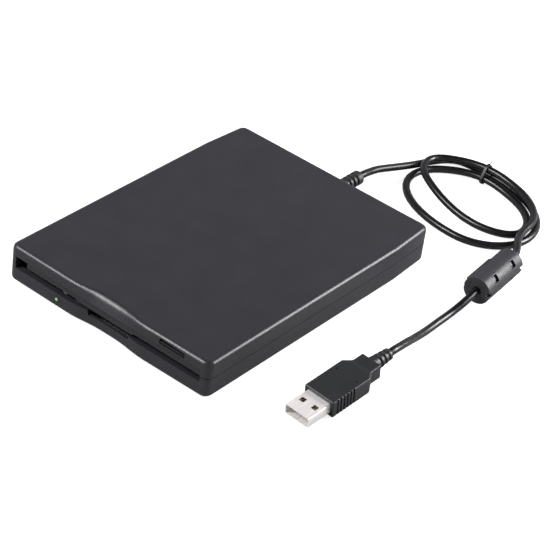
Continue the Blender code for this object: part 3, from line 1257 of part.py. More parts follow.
def smooth_route(stops, spacing):
    """Evenly spaced points on a smooth curve through the stops, both ends kept."""
    stops = [Vector(stop) for stop in stops]
    guides = [stops[0] * 2 - stops[1], *stops, stops[-1] * 2 - stops[-2]]
    fine = []
    for number in range(1, len(guides) - 2):
        before, here, ahead, beyond = guides[number - 1:number + 3]
        for step in range(ROUTE_STEPS):
            t = step / ROUTE_STEPS
            slope_in = (ahead - before) / 2
            slope_out = (beyond - here) / 2
            point = here * (2 * t**3 - 3 * t**2 + 1) + slope_in * (t**3 - 2 * t**2 + t)
            point += ahead * (3 * t**2 - 2 * t**3) + slope_out * (t**3 - t**2)
            fine.append(point)
    fine.append(stops[-1])
    reach = [0]
    for one, two in zip(fine, fine[1:]):
        reach.append(reach[-1] + (two - one).length)
    count = max(2, round(reach[-1] / spacing))
    points = []
    for number in range(count + 1):
        want = reach[-1] * number / count
        place = max(1, next((i for i, r in enumerate(reach) if r >= want), len(reach) - 1))
        run = reach[place] - reach[place - 1]
        points.append(fine[place - 1].lerp(fine[place], min(1, (want - reach[place - 1]) / run)))
    return points


def tie_lift(x, y):
    """How far the strands rise where the twist tie passes under them."""
    if y < LOOP_SIDE_Y:
        return 0
    near = max(0, 1 - ((x - TIE_X) / TIE_SPREAD) ** 2)
    return (TIE_THICKNESS + TIE_CLEARANCE) * near * near


def loop_points():
    """The coiled cord: quarter ellipses between the stops of each loop, the last turn on top."""
    level = CORD_DIAMETER / 2
    points = [Vector((LOOP_START_X, LOOP_STOPS[0][1], level + tie_lift(LOOP_START_X, LOOP_STOPS[0][1])))]
    points.append(points[0].lerp(Vector((*LOOP_STOPS[0], level)), LOOP_LEAD_SHARE))
    points[1].z = level + tie_lift(points[1].x, points[1].y)
    for number, (start, end) in enumerate(zip(LOOP_STOPS, LOOP_STOPS[1:])):
        sideways = number % 2 == 0
        for step in range(LOOP_POINTS + (number == len(LOOP_STOPS) - 2)):
            turn = math.pi / 2 * step / LOOP_POINTS
            early, late = (math.sin(turn), math.cos(turn))
            if sideways:
                x = start[0] + (end[0] - start[0]) * early
                y = end[1] + (start[1] - end[1]) * late
            else:
                x = end[0] + (start[0] - end[0]) * late
                y = start[1] + (end[1] - start[1]) * early
            passed = number + step / LOOP_POINTS - LIFT_START
            share = min(1, max(0, passed / LIFT_QUARTERS))
            rise = STACK_RISE * share * share * (3 - 2 * share)
            points.append(Vector((x, y, level + rise + tie_lift(x, y))))
    return points


def least_gap(points, diameter):
    """The smallest gap between the tube's far-apart stretches, measured on its points."""
    fine = [one.lerp(two, share / 4) for one, two in zip(points, points[1:]) for share in range(4)]
    reach = [0]
    for one, two in zip(fine, fine[1:]):
        reach.append(reach[-1] + (two - one).length)
    least = min((one - two).length for i, one in enumerate(fine) for j, two in enumerate(fine)
                if reach[j] - reach[i] > LOOP_APART)
    return least - diameter


def free_stretch(name, start, start_way, stops, end, end_way):
    """A free stretch of cord that leaves and arrives square, straight for one diameter."""
    inner = [start + start_way * CORD_DIAMETER, *stops, end - end_way * CORD_DIAMETER]
    points = [start, *smooth_route(inner, CORD_SPACING), end]
    tube(name, points, CORD_DIAMETER, "cord_jacket", 2)


def make_cord():
    """The free stretches of the cord and its tied loops."""
    loops = loop_points()
    print("least gap of the loops in mm:", round(least_gap(loops, CORD_DIAMETER) * 1000, 2))
    tube("cord_loops", loops, CORD_DIAMETER, "cord_jacket", 1)
    tip = Vector((OUTLET_X, REAR + GAP + RELIEF_LENGTH + GAP, OUTLET_LEVEL))
    way = (loops[1] - loops[0]).normalized()
    free_stretch("cord_lead", tip, Vector((0, 1, 0)), LEAD_ROUTE, loops[0] - way * GAP, way)
    way = (loops[-1] - loops[-2]).normalized()
    along = (ferrite_place(-1) - ferrite_place(0)).normalized()
    bore = [ferrite_place(share * FERRITE_LENGTH) for share in FERRITE_ROUTE_SHARES]
    near = ferrite_place(-FERRITE_LENGTH / 2)
    free_stretch("cord_tail", loops[-1] + way * GAP, way, [*TAIL_ROUTE, *bore], near, along)
    plug_way = (plug_matrix().to_3x3() @ Vector((0, -1, 0))).normalized()
    plug_end = plug_matrix() @ Vector((0, plug_length() + GAP, 0))
    free_stretch("cord_end", near + along * GAP, along, END_ROUTE, plug_end, plug_way)


def rounded_hull(centres, radius):
    """The outline round three circles of one radius, as arcs joined by straight runs."""
    outline = []
    count = len(centres)
    for number, centre in enumerate(centres):
        before = Vector(centre) - Vector(centres[number - 1])
        after = Vector(centres[(number + 1) % count]) - Vector(centre)
        start = math.atan2(-before.x, before.y)
        end = math.atan2(-after.x, after.y)
        sweep = (end - start) % (2 * math.pi)
        for step in range(CORNER_STEPS + 1):
            turn = start + sweep * step / CORNER_STEPS
            outline.append((centre[0] + radius * math.cos(turn), centre[1] + radius * math.sin(turn)))
    return outline


def make_twist_tie():
    """The wire tie round the three strands, with its twisted end."""
    crossings = []
    points = loop_points()
    for one, two in zip(points, points[1:]):
        if (one.x - TIE_X) * (two.x - TIE_X) <= 0 and one.y > LOOP_SIDE_Y:
            spot = one.lerp(two, (TIE_X - one.x) / (two.x - one.x))
            crossings.append((spot.y, spot.z))
    middle = Vector((sum(y for y, z in crossings), sum(z for y, z in crossings))) / len(crossings)
    crossings.sort(key=lambda spot: math.atan2(spot[1] - middle.y, spot[0] - middle.x))
    bare = CORD_DIAMETER / 2 + TIE_CLEARANCE
    ends = (TIE_X - TIE_WIDTH / 2, TIE_X + TIE_WIDTH / 2)
    tie = prism("twist_tie", "X", rounded_hull(crossings, bare + TIE_THICKNESS), ends, "dark_plastic")
    ends = (ends[0] - OVERRUN, ends[1] + OVERRUN)
    cut(tie, prism("inside", "X", rounded_hull(crossings, bare), ends))
    top = max(crossings, key=lambda spot: spot[1])
    foot = Vector((TIE_X, top[0], top[1] + bare + TIE_THICKNESS / 2))
    rings = []
    for step in range(TIE_TWIST_STEPS + 1):
        share = step / TIE_TWIST_STEPS
        centre = foot + Vector(TIE_TAIL_WAY) * TIE_TAIL * share
        turn = math.pi * 2 * share
        wide = Vector((math.cos(turn), math.sin(turn), 0)) * TIE_WIDTH * 2 / 3
        thin = Vector((-math.sin(turn), math.cos(turn), 0)) * TIE_THICKNESS / 2
        rings.append([centre + wide + thin, centre - wide + thin, centre - wide - thin, centre + wide - thin])
    join(tie, loft("tail", rings))


def ferrite_place(along):
    """The point on the ferrite's axis this far toward its rear from its middle."""
    x = FERRITE_X - along * math.sin(FERRITE_TURN)
    return Vector((x, FERRITE_Y + along * math.cos(FERRITE_TURN), FERRITE_WIDTH / 2))


def make_ferrite():
    """The clip-on ferrite: two hinged shells with a latch flap, each with half a core."""
    frame = bpy.data.objects.new("ferrite_frame", None)
    bpy.context.scene.collection.objects.link(frame)
    frame.location = (FERRITE_X, FERRITE_Y, 0)
    frame.rotation_euler = (0, 0, FERRITE_TURN)
    half = FERRITE_WIDTH / 2
    middle = half
    run = half - FERRITE_RADIUS
    low = arc_points((-run, FERRITE_RADIUS), FERRITE_RADIUS, math.pi, CORNER_STEPS)
    low += arc_points((run, FERRITE_RADIUS), FERRITE_RADIUS, math.pi * 3 / 2, CORNER_STEPS)
    low += [(half, middle - SNUG), (-half, middle - SNUG)]
    high = [(x, FERRITE_WIDTH - z) for x, z in reversed(low)]
    ends = (-FERRITE_LENGTH / 2, FERRITE_LENGTH / 2)
    barrel = (-half - FERRITE_HINGE / 2 - SNUG, middle)
    bore = CORD_DIAMETER / 2 + GAP
    reach = FERRITE_HINGE_REACH / 2
    knuckle = FERRITE_HINGE_MIDDLE / 2
    for word, outline, side in (("lower", low, -1), ("upper", high, 1)):
        shell = prism(f"ferrite_case_{word}", "Y", outline, ends, "ferrite_shell")
        face = middle + side * SNUG
        deep = middle + side * (half - FERRITE_WALL)
        xs = (-half + FERRITE_WALL, half - FERRITE_WALL)
        ys = (ends[0] + FERRITE_END_WALL, ends[1] - FERRITE_END_WALL)
        cut(shell, box("pocket", xs, ys, sorted((deep, face - side * OVERRUN))))
        way = (ends[0] - OVERRUN, ends[1] + OVERRUN)
        cut(shell, rod("bore", "Y", (0, middle), bore, way, None, SMALL_SIDES))
        spans = [(-knuckle, knuckle)]
        if side > 0:
            spans = [(-reach, -knuckle - SNUG), (knuckle + SNUG, reach)]
        for span in spans:
            web = (barrel[0], -half + BITE)
            zs = sorted((face, face + side * FERRITE_HINGE / 2))
            join(shell, box("web", web, span, zs))
            join(shell, rod("knuckle", "Y", barrel, FERRITE_HINGE / 2, span, None, SMALL_SIDES))
        if side > 0:
            add_latch(shell, half, face)
        else:
            add_teeth(shell, half)
        round_off(shell)
        hang_on(shell, (barrel[0], 0, middle))
        core_xs = (xs[0] + GAP, xs[1] - GAP)
        core_ys = (ys[0] + GAP, ys[1] - GAP)
        zs = sorted((face, deep - side * GAP))
        core = box(f"ferrite_core_{word}", core_xs, core_ys, zs, "ferrite_core")
        cut(core, rod("bore", "Y", (0, middle), bore, way, None, SMALL_SIDES))
        hang_on(core, (barrel[0], 0, middle))
        shell.parent = frame
        core.parent = frame


def add_latch(shell, half, face):
    """The upper shell's latch flap with its two windows, flush with the side."""
    inner = half - FLAP_LATCH_THICKNESS
    ys = (-FLAP_LATCH_LENGTH / 2, FLAP_LATCH_LENGTH / 2)
    flap = box("latch_flap", (inner, half + SNUG / 2), ys, (FLAP_LATCH_BOTTOM, face + FERRITE_HINGE))
    for side in (-1, 1):
        centre = side * LATCH_WINDOW_PLACE
        window = (centre - LATCH_WINDOW_LENGTH / 2, centre + LATCH_WINDOW_LENGTH / 2)
        low = LATCH_WINDOW_LEVEL - LATCH_WINDOW_HEIGHT / 2
        zs = (low, low + LATCH_WINDOW_HEIGHT)
        cut(flap, box("window", (inner - OVERRUN, half + OVERRUN), window, zs))
    join(shell, flap)


def add_teeth(shell, half):
    """The lower shell's recess for the latch flap, and its two catches behind the windows."""
    deep = half - FLAP_LATCH_THICKNESS - GAP
    reach = FLAP_LATCH_LENGTH / 2 + GAP
    zs = (FLAP_LATCH_BOTTOM - GAP, FERRITE_WIDTH)
    cut(shell, box("recess", (deep, half + OVERRUN), (-reach, reach), zs))
    for side in (-1, 1):
        centre = side * LATCH_WINDOW_PLACE
        reach = LATCH_WINDOW_LENGTH / 2 - GAP
        low = LATCH_WINDOW_LEVEL - LATCH_WINDOW_HEIGHT / 2 + GAP
        zs = (low, LATCH_WINDOW_LEVEL + LATCH_WINDOW_HEIGHT / 2 - GAP)
        xs = (deep - BITE, deep + SNUG)
        join(shell, box("tooth", xs, (centre - reach, centre + reach), zs))


def rounded_rectangle(width, height, radius, steps):
    """An outline with round corners about the origin."""
    across = width / 2 - radius
    rise = height / 2 - radius
    outline = arc_points((across, rise), radius, 0, steps)
    outline += arc_points((-across, rise), radius, math.pi / 2, steps)
    outline += arc_points((-across, -rise), radius, math.pi, steps)
    outline += arc_points((across, -rise), radius, math.pi * 3 / 2, steps)
    return outline


def plug_length():
    """From the overmould's front to the tip of its strain relief."""
    return BODY_LENGTH + BODY_TAPER + NECK_LENGTH + PLUG_RELIEF_LENGTH


def plug_matrix():
    """Where the plug lies: on the lower front edge of its overmould, with its tail up."""
    drop = BODY_HEIGHT / 2 * math.cos(PLUG_PITCH)
    nose = SHELL_OUT * math.sin(PLUG_PITCH) + SHELL_HEIGHT / 2 * math.cos(PLUG_PITCH)
    place = Matrix.Translation((PLUG_X, PLUG_Y, max(drop, nose) + PLUG_LIFT))
    return place @ Matrix.Rotation(PLUG_YAW, 4, "Z") @ Matrix.Rotation(PLUG_PITCH, 4, "X")


def make_overmould():
    """The plug's moulded grip: body, shoulder, neck and ribbed strain relief."""
    shoulder = BODY_LENGTH + BODY_TAPER
    neck_end = shoulder + NECK_LENGTH
    edge = BODY_RADIUS / 4
    sections = [(0, BODY_WIDTH - edge * 2, BODY_HEIGHT - edge * 2)]
    sections += [(edge, BODY_WIDTH, BODY_HEIGHT), (BODY_LENGTH, BODY_WIDTH, BODY_HEIGHT)]
    sections += [(shoulder, NECK_WIDTH, NECK_HEIGHT), (neck_end - edge, NECK_WIDTH, NECK_HEIGHT)]
    sections += [(neck_end, NECK_WIDTH - edge * 2, NECK_HEIGHT - edge * 2)]
    rings = []
    for y, width, height in sections:
        outline = rounded_rectangle(width, height, BODY_RADIUS, CORNER_STEPS)
        rings.append([(x, y, z) for x, z in outline])
    grip = loft("plug_overmould", rings, "plug_plastic")
    radius = PLUG_RELIEF_ROOT / 2
    shrink = (PLUG_RELIEF_ROOT - PLUG_RELIEF_TIP) / 2
    tip = neck_end + PLUG_RELIEF_LENGTH
    profile = [(radius, neck_end - edge)]
    for number in range(RELIEF_GROOVES):
        start = neck_end + PLUG_RELIEF_LENGTH * (number + 1) / (RELIEF_GROOVES + 1)
        for place, deep in ((start, 0), (start, PLUG_RELIEF_DEPTH),
                            (start + PLUG_RELIEF_GROOVE, PLUG_RELIEF_DEPTH),
                            (start + PLUG_RELIEF_GROOVE, 0)):
            profile.append((radius - shrink * (place - neck_end) / PLUG_RELIEF_LENGTH - deep, place))
    profile += [(radius - shrink, tip)]
    join(grip, turned("relief", "Y", (0, 0), profile))
    for side in (-1, 1):
        for number in range(GRIP_COUNT):
            start = GRIP_FIRST + number * GRIP_PITCH
            xs = sorted((side * (BODY_WIDTH / 2 - GRIP_DEPTH), side * (BODY_WIDTH / 2 + OVERRUN)))
            cut(grip, box("grip", xs, (start, start + GRIP_WIDTH), (-BODY_HEIGHT, BODY_HEIGHT)))
    xs = (-SHELL_WIDTH / 2 - GAP, SHELL_WIDTH / 2 + GAP)
    zs = (-SHELL_HEIGHT / 2 - GAP, SHELL_HEIGHT / 2 + GAP)
    cut(grip, box("socket", xs, (-OVERRUN, SHELL_ROOT + GAP), zs))
    round_off(grip)
    return grip


def make_plug():
    """The USB plug: overmould, folded metal shell with windows, tongue and four contacts."""
    frame = bpy.data.objects.new("plug_frame", None)
    bpy.context.scene.collection.objects.link(frame)
    frame.matrix_world = plug_matrix()
    pieces = [make_overmould()]
    half = SHELL_WIDTH / 2
    rise = SHELL_HEIGHT / 2
    ys = (-SHELL_OUT, SHELL_ROOT)
    shell = box("plug_shell", (-half, half), ys, (-rise, rise), "plug_metal")
    inner_x = half - SHELL_SHEET
    inner_z = rise - SHELL_SHEET
    way = (-SHELL_OUT - OVERRUN, SHELL_ROOT + OVERRUN)
    cut(shell, box("inside", (-inner_x, inner_x), way, (-inner_z, inner_z)))
    reach = SHELL_WINDOW / 2
    for side in (-1, 1):
        xs = (side * SHELL_WINDOW_X - reach, side * SHELL_WINDOW_X + reach)
        window = (-SHELL_WINDOW_Y - reach, -SHELL_WINDOW_Y + reach)
        cut(shell, box("window", xs, window, (-rise - OVERRUN, rise + OVERRUN)))
    pieces.append(shell)
    low = -inner_z + SNUG
    high = low + TONGUE_THICKNESS
    tip = SHELL_ROOT - TONGUE_LENGTH - SHELL_ROOT / 2
    xs = (-TONGUE_WIDTH / 2, TONGUE_WIDTH / 2)
    pieces.append(box("plug_tongue", xs, (tip, SHELL_ROOT), (low, high), "white_plastic"))
    lengths = (CONTACT_LENGTH_OUTER, CONTACT_LENGTH_INNER, CONTACT_LENGTH_INNER, CONTACT_LENGTH_OUTER)
    places = (-CONTACT_X_OUTER, -CONTACT_X_INNER, CONTACT_X_INNER, CONTACT_X_OUTER)
    for number, (x, length) in enumerate(zip(places, lengths), 1):
        xs = (x - CONTACT_WIDTH / 2, x + CONTACT_WIDTH / 2)
        ys = (tip + CONTACT_WIDTH, tip + CONTACT_WIDTH + length)
        zs = (high + SNUG, high + SNUG + CONTACT_THICKNESS)
        pieces.append(box(f"plug_contact_{number}", xs, ys, zs, "contact_gold"))
    for piece in pieces:
        piece.parent = frame


def main():
    """Build every piece of the drive in its place."""
    clear_scene()
    make_top_cover()
    make_bottom_cover()
    make_feet_and_screws()
    make_strain_relief()
    make_flap()
    make_eject_button()
    make_access_light()
    make_chassis()
    make_top_shield()
    make_disk_holder()
    make_eject_plate()
    make_eject_springs()
    make_shutter_lever()
    make_shutter_spring()
    make_circuit_boards()
    make_switches()
    make_spindle_motor()
    make_head_carriage()
    make_head_arm()
    make_carriage_drive()
    make_cord()
    make_twist_tie()
    make_ferrite()
    make_plug()


main()
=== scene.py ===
"""External floppy disk drive: finishes, fine pieces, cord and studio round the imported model.

Metres, +Z up, the disk slot faces -Y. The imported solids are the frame. The covers, the flap, the
button, the ferrite's shells and the tie get finer copies. The cord, its two sleeves, the plug, the
access light and the feet are modelled again over their solids. Every solid that stays gets a
procedural finish.
"""

import json
import math

import bmesh
import bpy
from mathutils import Matrix, Vector


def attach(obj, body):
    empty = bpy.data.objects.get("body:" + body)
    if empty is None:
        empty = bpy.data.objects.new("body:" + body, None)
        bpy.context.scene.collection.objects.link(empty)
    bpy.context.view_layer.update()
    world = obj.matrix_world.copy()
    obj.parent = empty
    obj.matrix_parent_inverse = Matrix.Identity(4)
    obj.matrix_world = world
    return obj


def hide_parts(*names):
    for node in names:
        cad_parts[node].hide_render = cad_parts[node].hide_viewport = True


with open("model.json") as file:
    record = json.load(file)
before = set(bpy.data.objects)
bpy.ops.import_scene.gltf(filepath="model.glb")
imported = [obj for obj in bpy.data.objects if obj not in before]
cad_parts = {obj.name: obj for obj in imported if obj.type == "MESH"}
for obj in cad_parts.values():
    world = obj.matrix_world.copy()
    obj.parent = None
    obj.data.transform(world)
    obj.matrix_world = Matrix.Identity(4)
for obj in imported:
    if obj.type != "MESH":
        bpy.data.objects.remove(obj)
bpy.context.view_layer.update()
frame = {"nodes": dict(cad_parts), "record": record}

# Cord: the same route as the solids, one line from the strain relief to the plug.
CORD_DIAMETER = 0.0033
CORD_STEP = 0.0012
CORD_ROUNDING = 6
ROUTE_STEPS = 12
OUTLET_X = 0.0018
OUTLET_LEVEL = 0.00955
RELIEF_TIP = (OUTLET_X, 0.0852, OUTLET_LEVEL)
LEAD_ROUTE = (
    (OUTLET_X, 0.0898, OUTLET_LEVEL), (OUTLET_X, 0.0950, 0.0088), (0.0024, 0.1009, 0.0079),
    (0.0046, 0.1131, 0.0052), (0.0060, 0.1210, 0.0035), (0.0074, 0.1280, 0.0024),
    (0.0096, 0.1346, 0.0019), (0.0128, 0.1394, 0.0019), (0.0176, 0.1424, 0.0020),
)

# Coil: corners of its quarter turns. After LIFT_START quarters the strand climbs on the others,
# within LIFT_QUARTERS of a turn, and every strand rises a little where the tie passes below.
LOOP_START_X = 0.0262
LOOP_STOPS = (
    (0.0370, 0.1430), (0.0728, 0.1150), (0.0490, 0.0930), (0.0094, 0.1180), (0.0350, 0.1385),
    (0.0680, 0.1171), (0.0500, 0.1068), (0.0102, 0.1270), (0.0365, 0.1408), (0.0706, 0.1160),
)
LOOP_SIDE_Y = 0.1300
LOOP_STEPS = 12
LEAD_IN_STEPS = 4
LIFT_START = 6
LIFT_QUARTERS = 0.6
STACK_RISE = 0.00395
TIE_X = 0.0327
TIE_THICKNESS = 0.0005
TIE_CLEARANCE = 0.0003
TIE_SPREAD = 0.0180

# From the coil through the ferrite, at shares of its length, down to the table and to the plug.
TAIL_ROUTE = ((0.0724, 0.1080, 0.0056), (0.0757, 0.1020, 0.0060), (0.0787, 0.0965, 0.0060))
FERRITE_SHARES = (0.5, 0.2, -0.2, -0.5)
END_ROUTE = (
    (0.0836, 0.0570, 0.0051), (0.0834, 0.0515, 0.0036), (0.0828, 0.0450, 0.0020),
    (0.0828, 0.0365, 0.00168), (0.0834, 0.0275, 0.0022), (0.0845, 0.0185, 0.0041),
    (0.0859, 0.0105, 0.0066),
)

# Where the ferrite and the plug lie.
FERRITE_X = 0.0820
FERRITE_Y = 0.0755
FERRITE_LEVEL = 0.0060
FERRITE_LENGTH = 0.0280
FERRITE_TURN = math.radians(5.9)
PLUG_X = 0.0838
PLUG_Y = -0.0413
PLUG_YAW = math.radians(-4)
PLUG_PITCH = math.radians(6)
PLUG_BODY_HEIGHT = 0.0076
PLUG_LIFT = 0.00005
PLUG_LENGTH = 0.0396

# Camera: it looks along the photograph's line of sight at a point beside the case.
CAMERA_AZIMUTH = math.radians(35.2786)
CAMERA_ELEVATION = math.radians(34.9379)
CAMERA_ROLL = math.radians(8.0686)
CAMERA_DISTANCE = 0.874012
CAMERA_AIM = (0.039795, -0.018252, 0.027337)
CAMERA_LENS = 147.813
CAMERA_SENSOR = 36.0
CAMERA_CLIP = 0.01

# Studio: the floor, the surround's levels, and what shiny faces see from low to high.
FLOOR_SIZE = 6.0
FLOOR_DROP = 0.0001
FLOOR_TONE = 0.45
FLOOR_LIFT = 0.82
WORLD_LEVEL = 0.20
MIRROR_LOW = 0.35
MIRROR_HIGH = 0.85
MIRROR_NEAR = 0.56
MIRROR_FAR = 0.08
WORLD_TINT = (0.95, 0.95, 1.0, 1)

# Lamps: name, place, aim, width and length, watts.
LAMPS = (
    ("rear_right_box", (0.360, 0.385, 0.260), (0.05, 0.03, 0.01), (0.26, 0.26), 5.0),
    ("front_left_box", (-0.40, -0.52, 0.60), (0.0, -0.05, 0.01), (0.34, 0.34), 9.0),
)

# Finishes: the spans over which the noises act, and how a finish is put together from them.
WHITE = (1, 1, 1, 1)
NOISE_LOW = 0.3
NOISE_HIGH = 0.7
CLOUD_LOW = 0.35
CLOUD_HIGH = 0.65
BAND_LOW = 0.2
BAND_HIGH = 0.8
COAT_ROUGHNESS = 0.25
FLOW_SPAN = 60
FLOW_DETAIL = 3
SHEEN_SPAN = 4
SHEEN_SWING = 0.05
SWELL_SPAN = 3
SWELL_HEIGHT = 1.5
SWELL_STRENGTH = 0.5
# Lighter edges: rubbed wear on most plastics, a painted highlight on the button's lip.
EDGE_WEAR_AND_HIGHLIGHT_SAMPLES = 4
EDGE_WEAR_AND_HIGHLIGHT_SPAN = 2
EDGE_WEAR_AND_HIGHLIGHT_START = 0.98
EDGE_WEAR_AND_HIGHLIGHT_FULL = 0.80
LINE_SHARE = 0.4
LINE_DETAIL = 3
LINE_CLOUD_SPAN = 30
LINE_SMOOTHER = 0.07
LINE_ROUGHER = 0.09
LINE_STRENGTH = 0.5
BAND_UNIT = 0.314
BAND_BEND = 0.4
BAND_SHEEN_SPAN = 5
BAND_SMOOTHER = 0.06
BAND_ROUGHER = 0.08
BAND_STRENGTH = 0.8
VINYL_TONES = ((0.0028, 0.0027, 0.0038), (0.0046, 0.0044, 0.0060))
VINYL_CLOUD = 0.02
VINYL_DUST = 0.004
VINYL_DUST_SHEEN = (0.24, 0.36)
VINYL_WAVE = 0.006
VINYL_WAVE_HEIGHT = 0.00002
GLOW_TONES = ((0.20, 0.42, 0.14), (0.42, 0.66, 0.30))
GLOW_RING = (0.020, 0.090, 0.022)
GLOW_CLOUD = 0.0008
GLOW_DEPTH_SHARE = 0.2
GLOW_REACH = (0.0003, 0.0006, 0.0003)
GLOW_GRAIN = 0.0002
GLOW_SHEEN = (0.2, 0.32)
GLOW_WAVE = 0.0003
GLOW_WAVE_HEIGHT = 0.00001
BOARD_BLOCK = 0.0042
BOARD_GAP_SHARE = 0.09
BOARD_TONES = ((0.010, 0.085, 0.036), (0.014, 0.105, 0.045))
BOARD_BARE = (0.035, 0.190, 0.070)
BOARD_TRACE_HEIGHT = 0.00003
PAD_PITCH = 0.0026
PAD_SCATTER = 0.25
PAD_SHARE = 0.17
PAD_TIN = (0.55, 0.56, 0.55)

# Shared values: a weld, a flat joint, the sides, edge steps and turns of round pieces, and how
# far a direction has to agree with an axis.
WELD = 0.000002
FLAT_ANGLE = math.radians(0.5)
ROUND_SIDES = 32
SOFT_STEPS = 3
FACE_REAR = (-math.pi / 2, 0, 0)
FACE_FRONT = (math.pi / 2, 0, 0)
FACE_DOWN = (math.pi, 0, 0)
ALONG = 0.9

# Case: fine edges, and the top edge of the upper shell, rolled wider than it was packed.
CASE_EDGE = 0.00020
FLAP_EDGE = 0.00012
SHELL_TOP = 0.0172
ROLL_PACKED = 0.0012
ROLL = 0.0020
ROLL_STEPS = 3
ROLL_REACH = 0.00002

# Ferrite shells, about the ferrite's axis, and the tie's snipped tail.
FERRITE_EDGE = 0.00025
BARREL_CUTS = 2
BARREL_RADIUS = 0.0061
BARREL_SIDE = 0.00605
WINDOW_TURN = math.radians(45)
WINDOW_PLACE = 0.0070
WINDOW_LONG = 0.0036
WINDOW_WIDE = 0.0032
WINDOW_DEPTH = 0.0014
CATCH_GAP = 0.0003
CATCH_LONG = 0.0017
CATCH_EDGE = 0.0001
NOTCH_LONG = 0.0020
NOTCH_DEEP = 0.0016
NOTCH_RISE = 0.0010
TIE_EDGE = 0.00008
TIE_ANGLE = 40
TIE_TOP = 0.0089
TIE_TAIL_Y = 0.1412
TIE_TAIL_SHARE = 0.35

# Strain relief on the case.
RELIEF_ROOT = 0.0688
RELIEF_START = 0.0705
RELIEF_DIAMETER = 0.0064
RELIEF_NECK = 0.0048
RELIEF_LENGTH = 0.0156
RELIEF_FIRST_CUT = 0.0062
RELIEF_PITCH = 0.0026
RELIEF_CUT_WIDTH = 0.0012
RELIEF_CUT = 0.0024
RELIEF_CUTS = 3
RELIEF_EDGE = 0.00022
RELIEF_MOUTH = 0.0010
RELIEF_BORE_SHARE = 1.06

# Plug, about the middle of its grip's front face.
PLUG_BODY_WIDTH = 0.0150
PLUG_BODY_LENGTH = 0.0205
PLUG_TAPER = 0.0035
PLUG_NECK_WIDTH = 0.0099
PLUG_NECK_HEIGHT = 0.0066
PLUG_NECK_LENGTH = 0.0058
PLUG_EDGE = 0.0007
PLUG_EDGE_STEPS = 4
PLUG_EDGE_ANGLE = 20
PLUG_SMOOTH_ANGLE = 30
GRIP_FINE_EDGE = 0.00012
CUT_EDGE_ANGLE = 50
PLUG_SLEEVE_ROOT = 0.0066
PLUG_SLEEVE_LENGTH = 0.0098
PLUG_SLEEVE_CUT = 0.78
PLUG_SLEEVE_FIRST_SHARE = 0.93
PLUG_SLEEVE_STEP_SHARE = 0.98
PLUG_SLEEVE_TAPER_SHARE = 0.945
PLUG_CUT_WIDTH = 0.0011
RIB_FIRST = 0.0022
RIB_PITCH = 0.0018
RIB_WIDTH = 0.0009
RIB_DEPTH = 0.0004
RIB_COUNT = 6
PIT_X = 0.0052
PIT_Y = 0.0150
PIT_SIZE = 0.0007
PIT_DEPTH = 0.0005
SHELL_WIDTH = 0.0120
SHELL_HEIGHT = 0.0045
SHELL_SHEET = 0.0004
SHELL_PLAY = 0.0002
SHELL_OUT = 0.01175
SHELL_ROOT = 0.0062
SHELL_CORNER = 0.0007
SHELL_CORNER_STEPS = 4
SHELL_WINDOW = 0.0024
SHELL_WINDOW_X = 0.0031
SHELL_WINDOW_Y = 0.0053
SHELL_SEAM = 0.00015
SHELL_FINE_EDGE = 0.00008

# Access light, its dome as shares of its rise and of its width, and feet.
LED_X = -0.0256
LED_LEVEL = 0.0046
LED_FACE = -0.0700
LED_RIM_FACE = -0.07011
LED_RADIUS = 0.0009
LED_HEART = 0.00068
LED_FADE = 0.00015
LED_DEPTH = 0.0012
LED_DOME = 0.0004
LED_DOME_SHARES = ((0.45, 0.86), (0.30, 0.74), (0.18, 0.55), (0.07, 0.3))
LED_DOME_ANGLE = 60
LED_RIM = 0.00138
LED_RIM_BORE = 0.00094
LED_RIM_PROUD = 0.00018
LED_RIM_EDGE = 0.00006
FOOT_X = 0.0400
FOOT_Y = 0.0560
FOOT_HEIGHT = 0.0010
FOOT_DIAMETER = 0.0080
FOOT_RIM_SHARE = 0.75
FOOT_SOLE_SHARE = 0.96
FOOT_DISH = 0.00015
FOOT_EDGE = 0.00025


def deselect():
    """Leave edit mode and select nothing, because operators act on all that is selected."""
    if bpy.context.object and bpy.context.object.mode == "EDIT":
        bpy.ops.object.mode_set(mode="OBJECT")
    bpy.ops.object.select_all(action="DESELECT")


def pick(piece):
    """Select one piece alone and make it the active one."""
    deselect()
    piece.select_set(True)
    bpy.context.view_layer.objects.active = piece


def settle(piece):
    """Move the piece's place, turn and size into its mesh, so that its object is at the origin."""
    pick(piece)
    bpy.ops.object.transform_apply(location=True, rotation=True, scale=True)
    return piece


def start_block(name, low, high):
    """A block between two corners, ready to be shaped in edit mode."""
    deselect()
    middle = [(one + two) / 2 for one, two in zip(low, high)]
    bpy.ops.mesh.primitive_cube_add(size=1, location=middle)
    piece = bpy.context.object
    piece.name = name
    piece.scale = [two - one for one, two in zip(low, high)]
    return settle(piece)


def edit(piece, test=None, kind="FACE"):
    """Enter edit mode with the piece's faces or edges selected, or those that pass a test."""
    pick(piece)
    bpy.ops.object.mode_set(mode="EDIT")
    bpy.context.tool_settings.mesh_select_mode = (False, kind == "EDGE", kind == "FACE")
    bpy.ops.mesh.select_all(action="DESELECT")
    cage = bmesh.from_edit_mesh(piece.data)
    cage.normal_update()
    for element in cage.faces if kind == "FACE" else cage.edges:
        if test is None or test(element):
            element.select_set(True)
    cage.select_flush_mode()
    bmesh.update_edit_mesh(piece.data)


def done():
    """Leave edit mode."""
    bpy.ops.object.mode_set(mode="OBJECT")


def turned(name, centre, radius, turn, steps, axis=1):
    """A round piece: a disc drawn out ring by ring, each step a distance and a width share."""
    deselect()
    bpy.ops.mesh.primitive_circle_add(vertices=ROUND_SIDES, radius=radius, fill_type="NGON",
                                      location=centre, rotation=turn)
    piece = bpy.context.object
    piece.name = name
    edit(settle(piece))
    for distance, share in steps:
        way = [0, 0, 0]
        way[axis] = distance
        bpy.ops.mesh.extrude_region_move(TRANSFORM_OT_translate={"value": way})
        if share != 1:
            size = [share] * 3
            size[axis] = 1
            bpy.ops.transform.resize(value=size)
    done()
    return piece


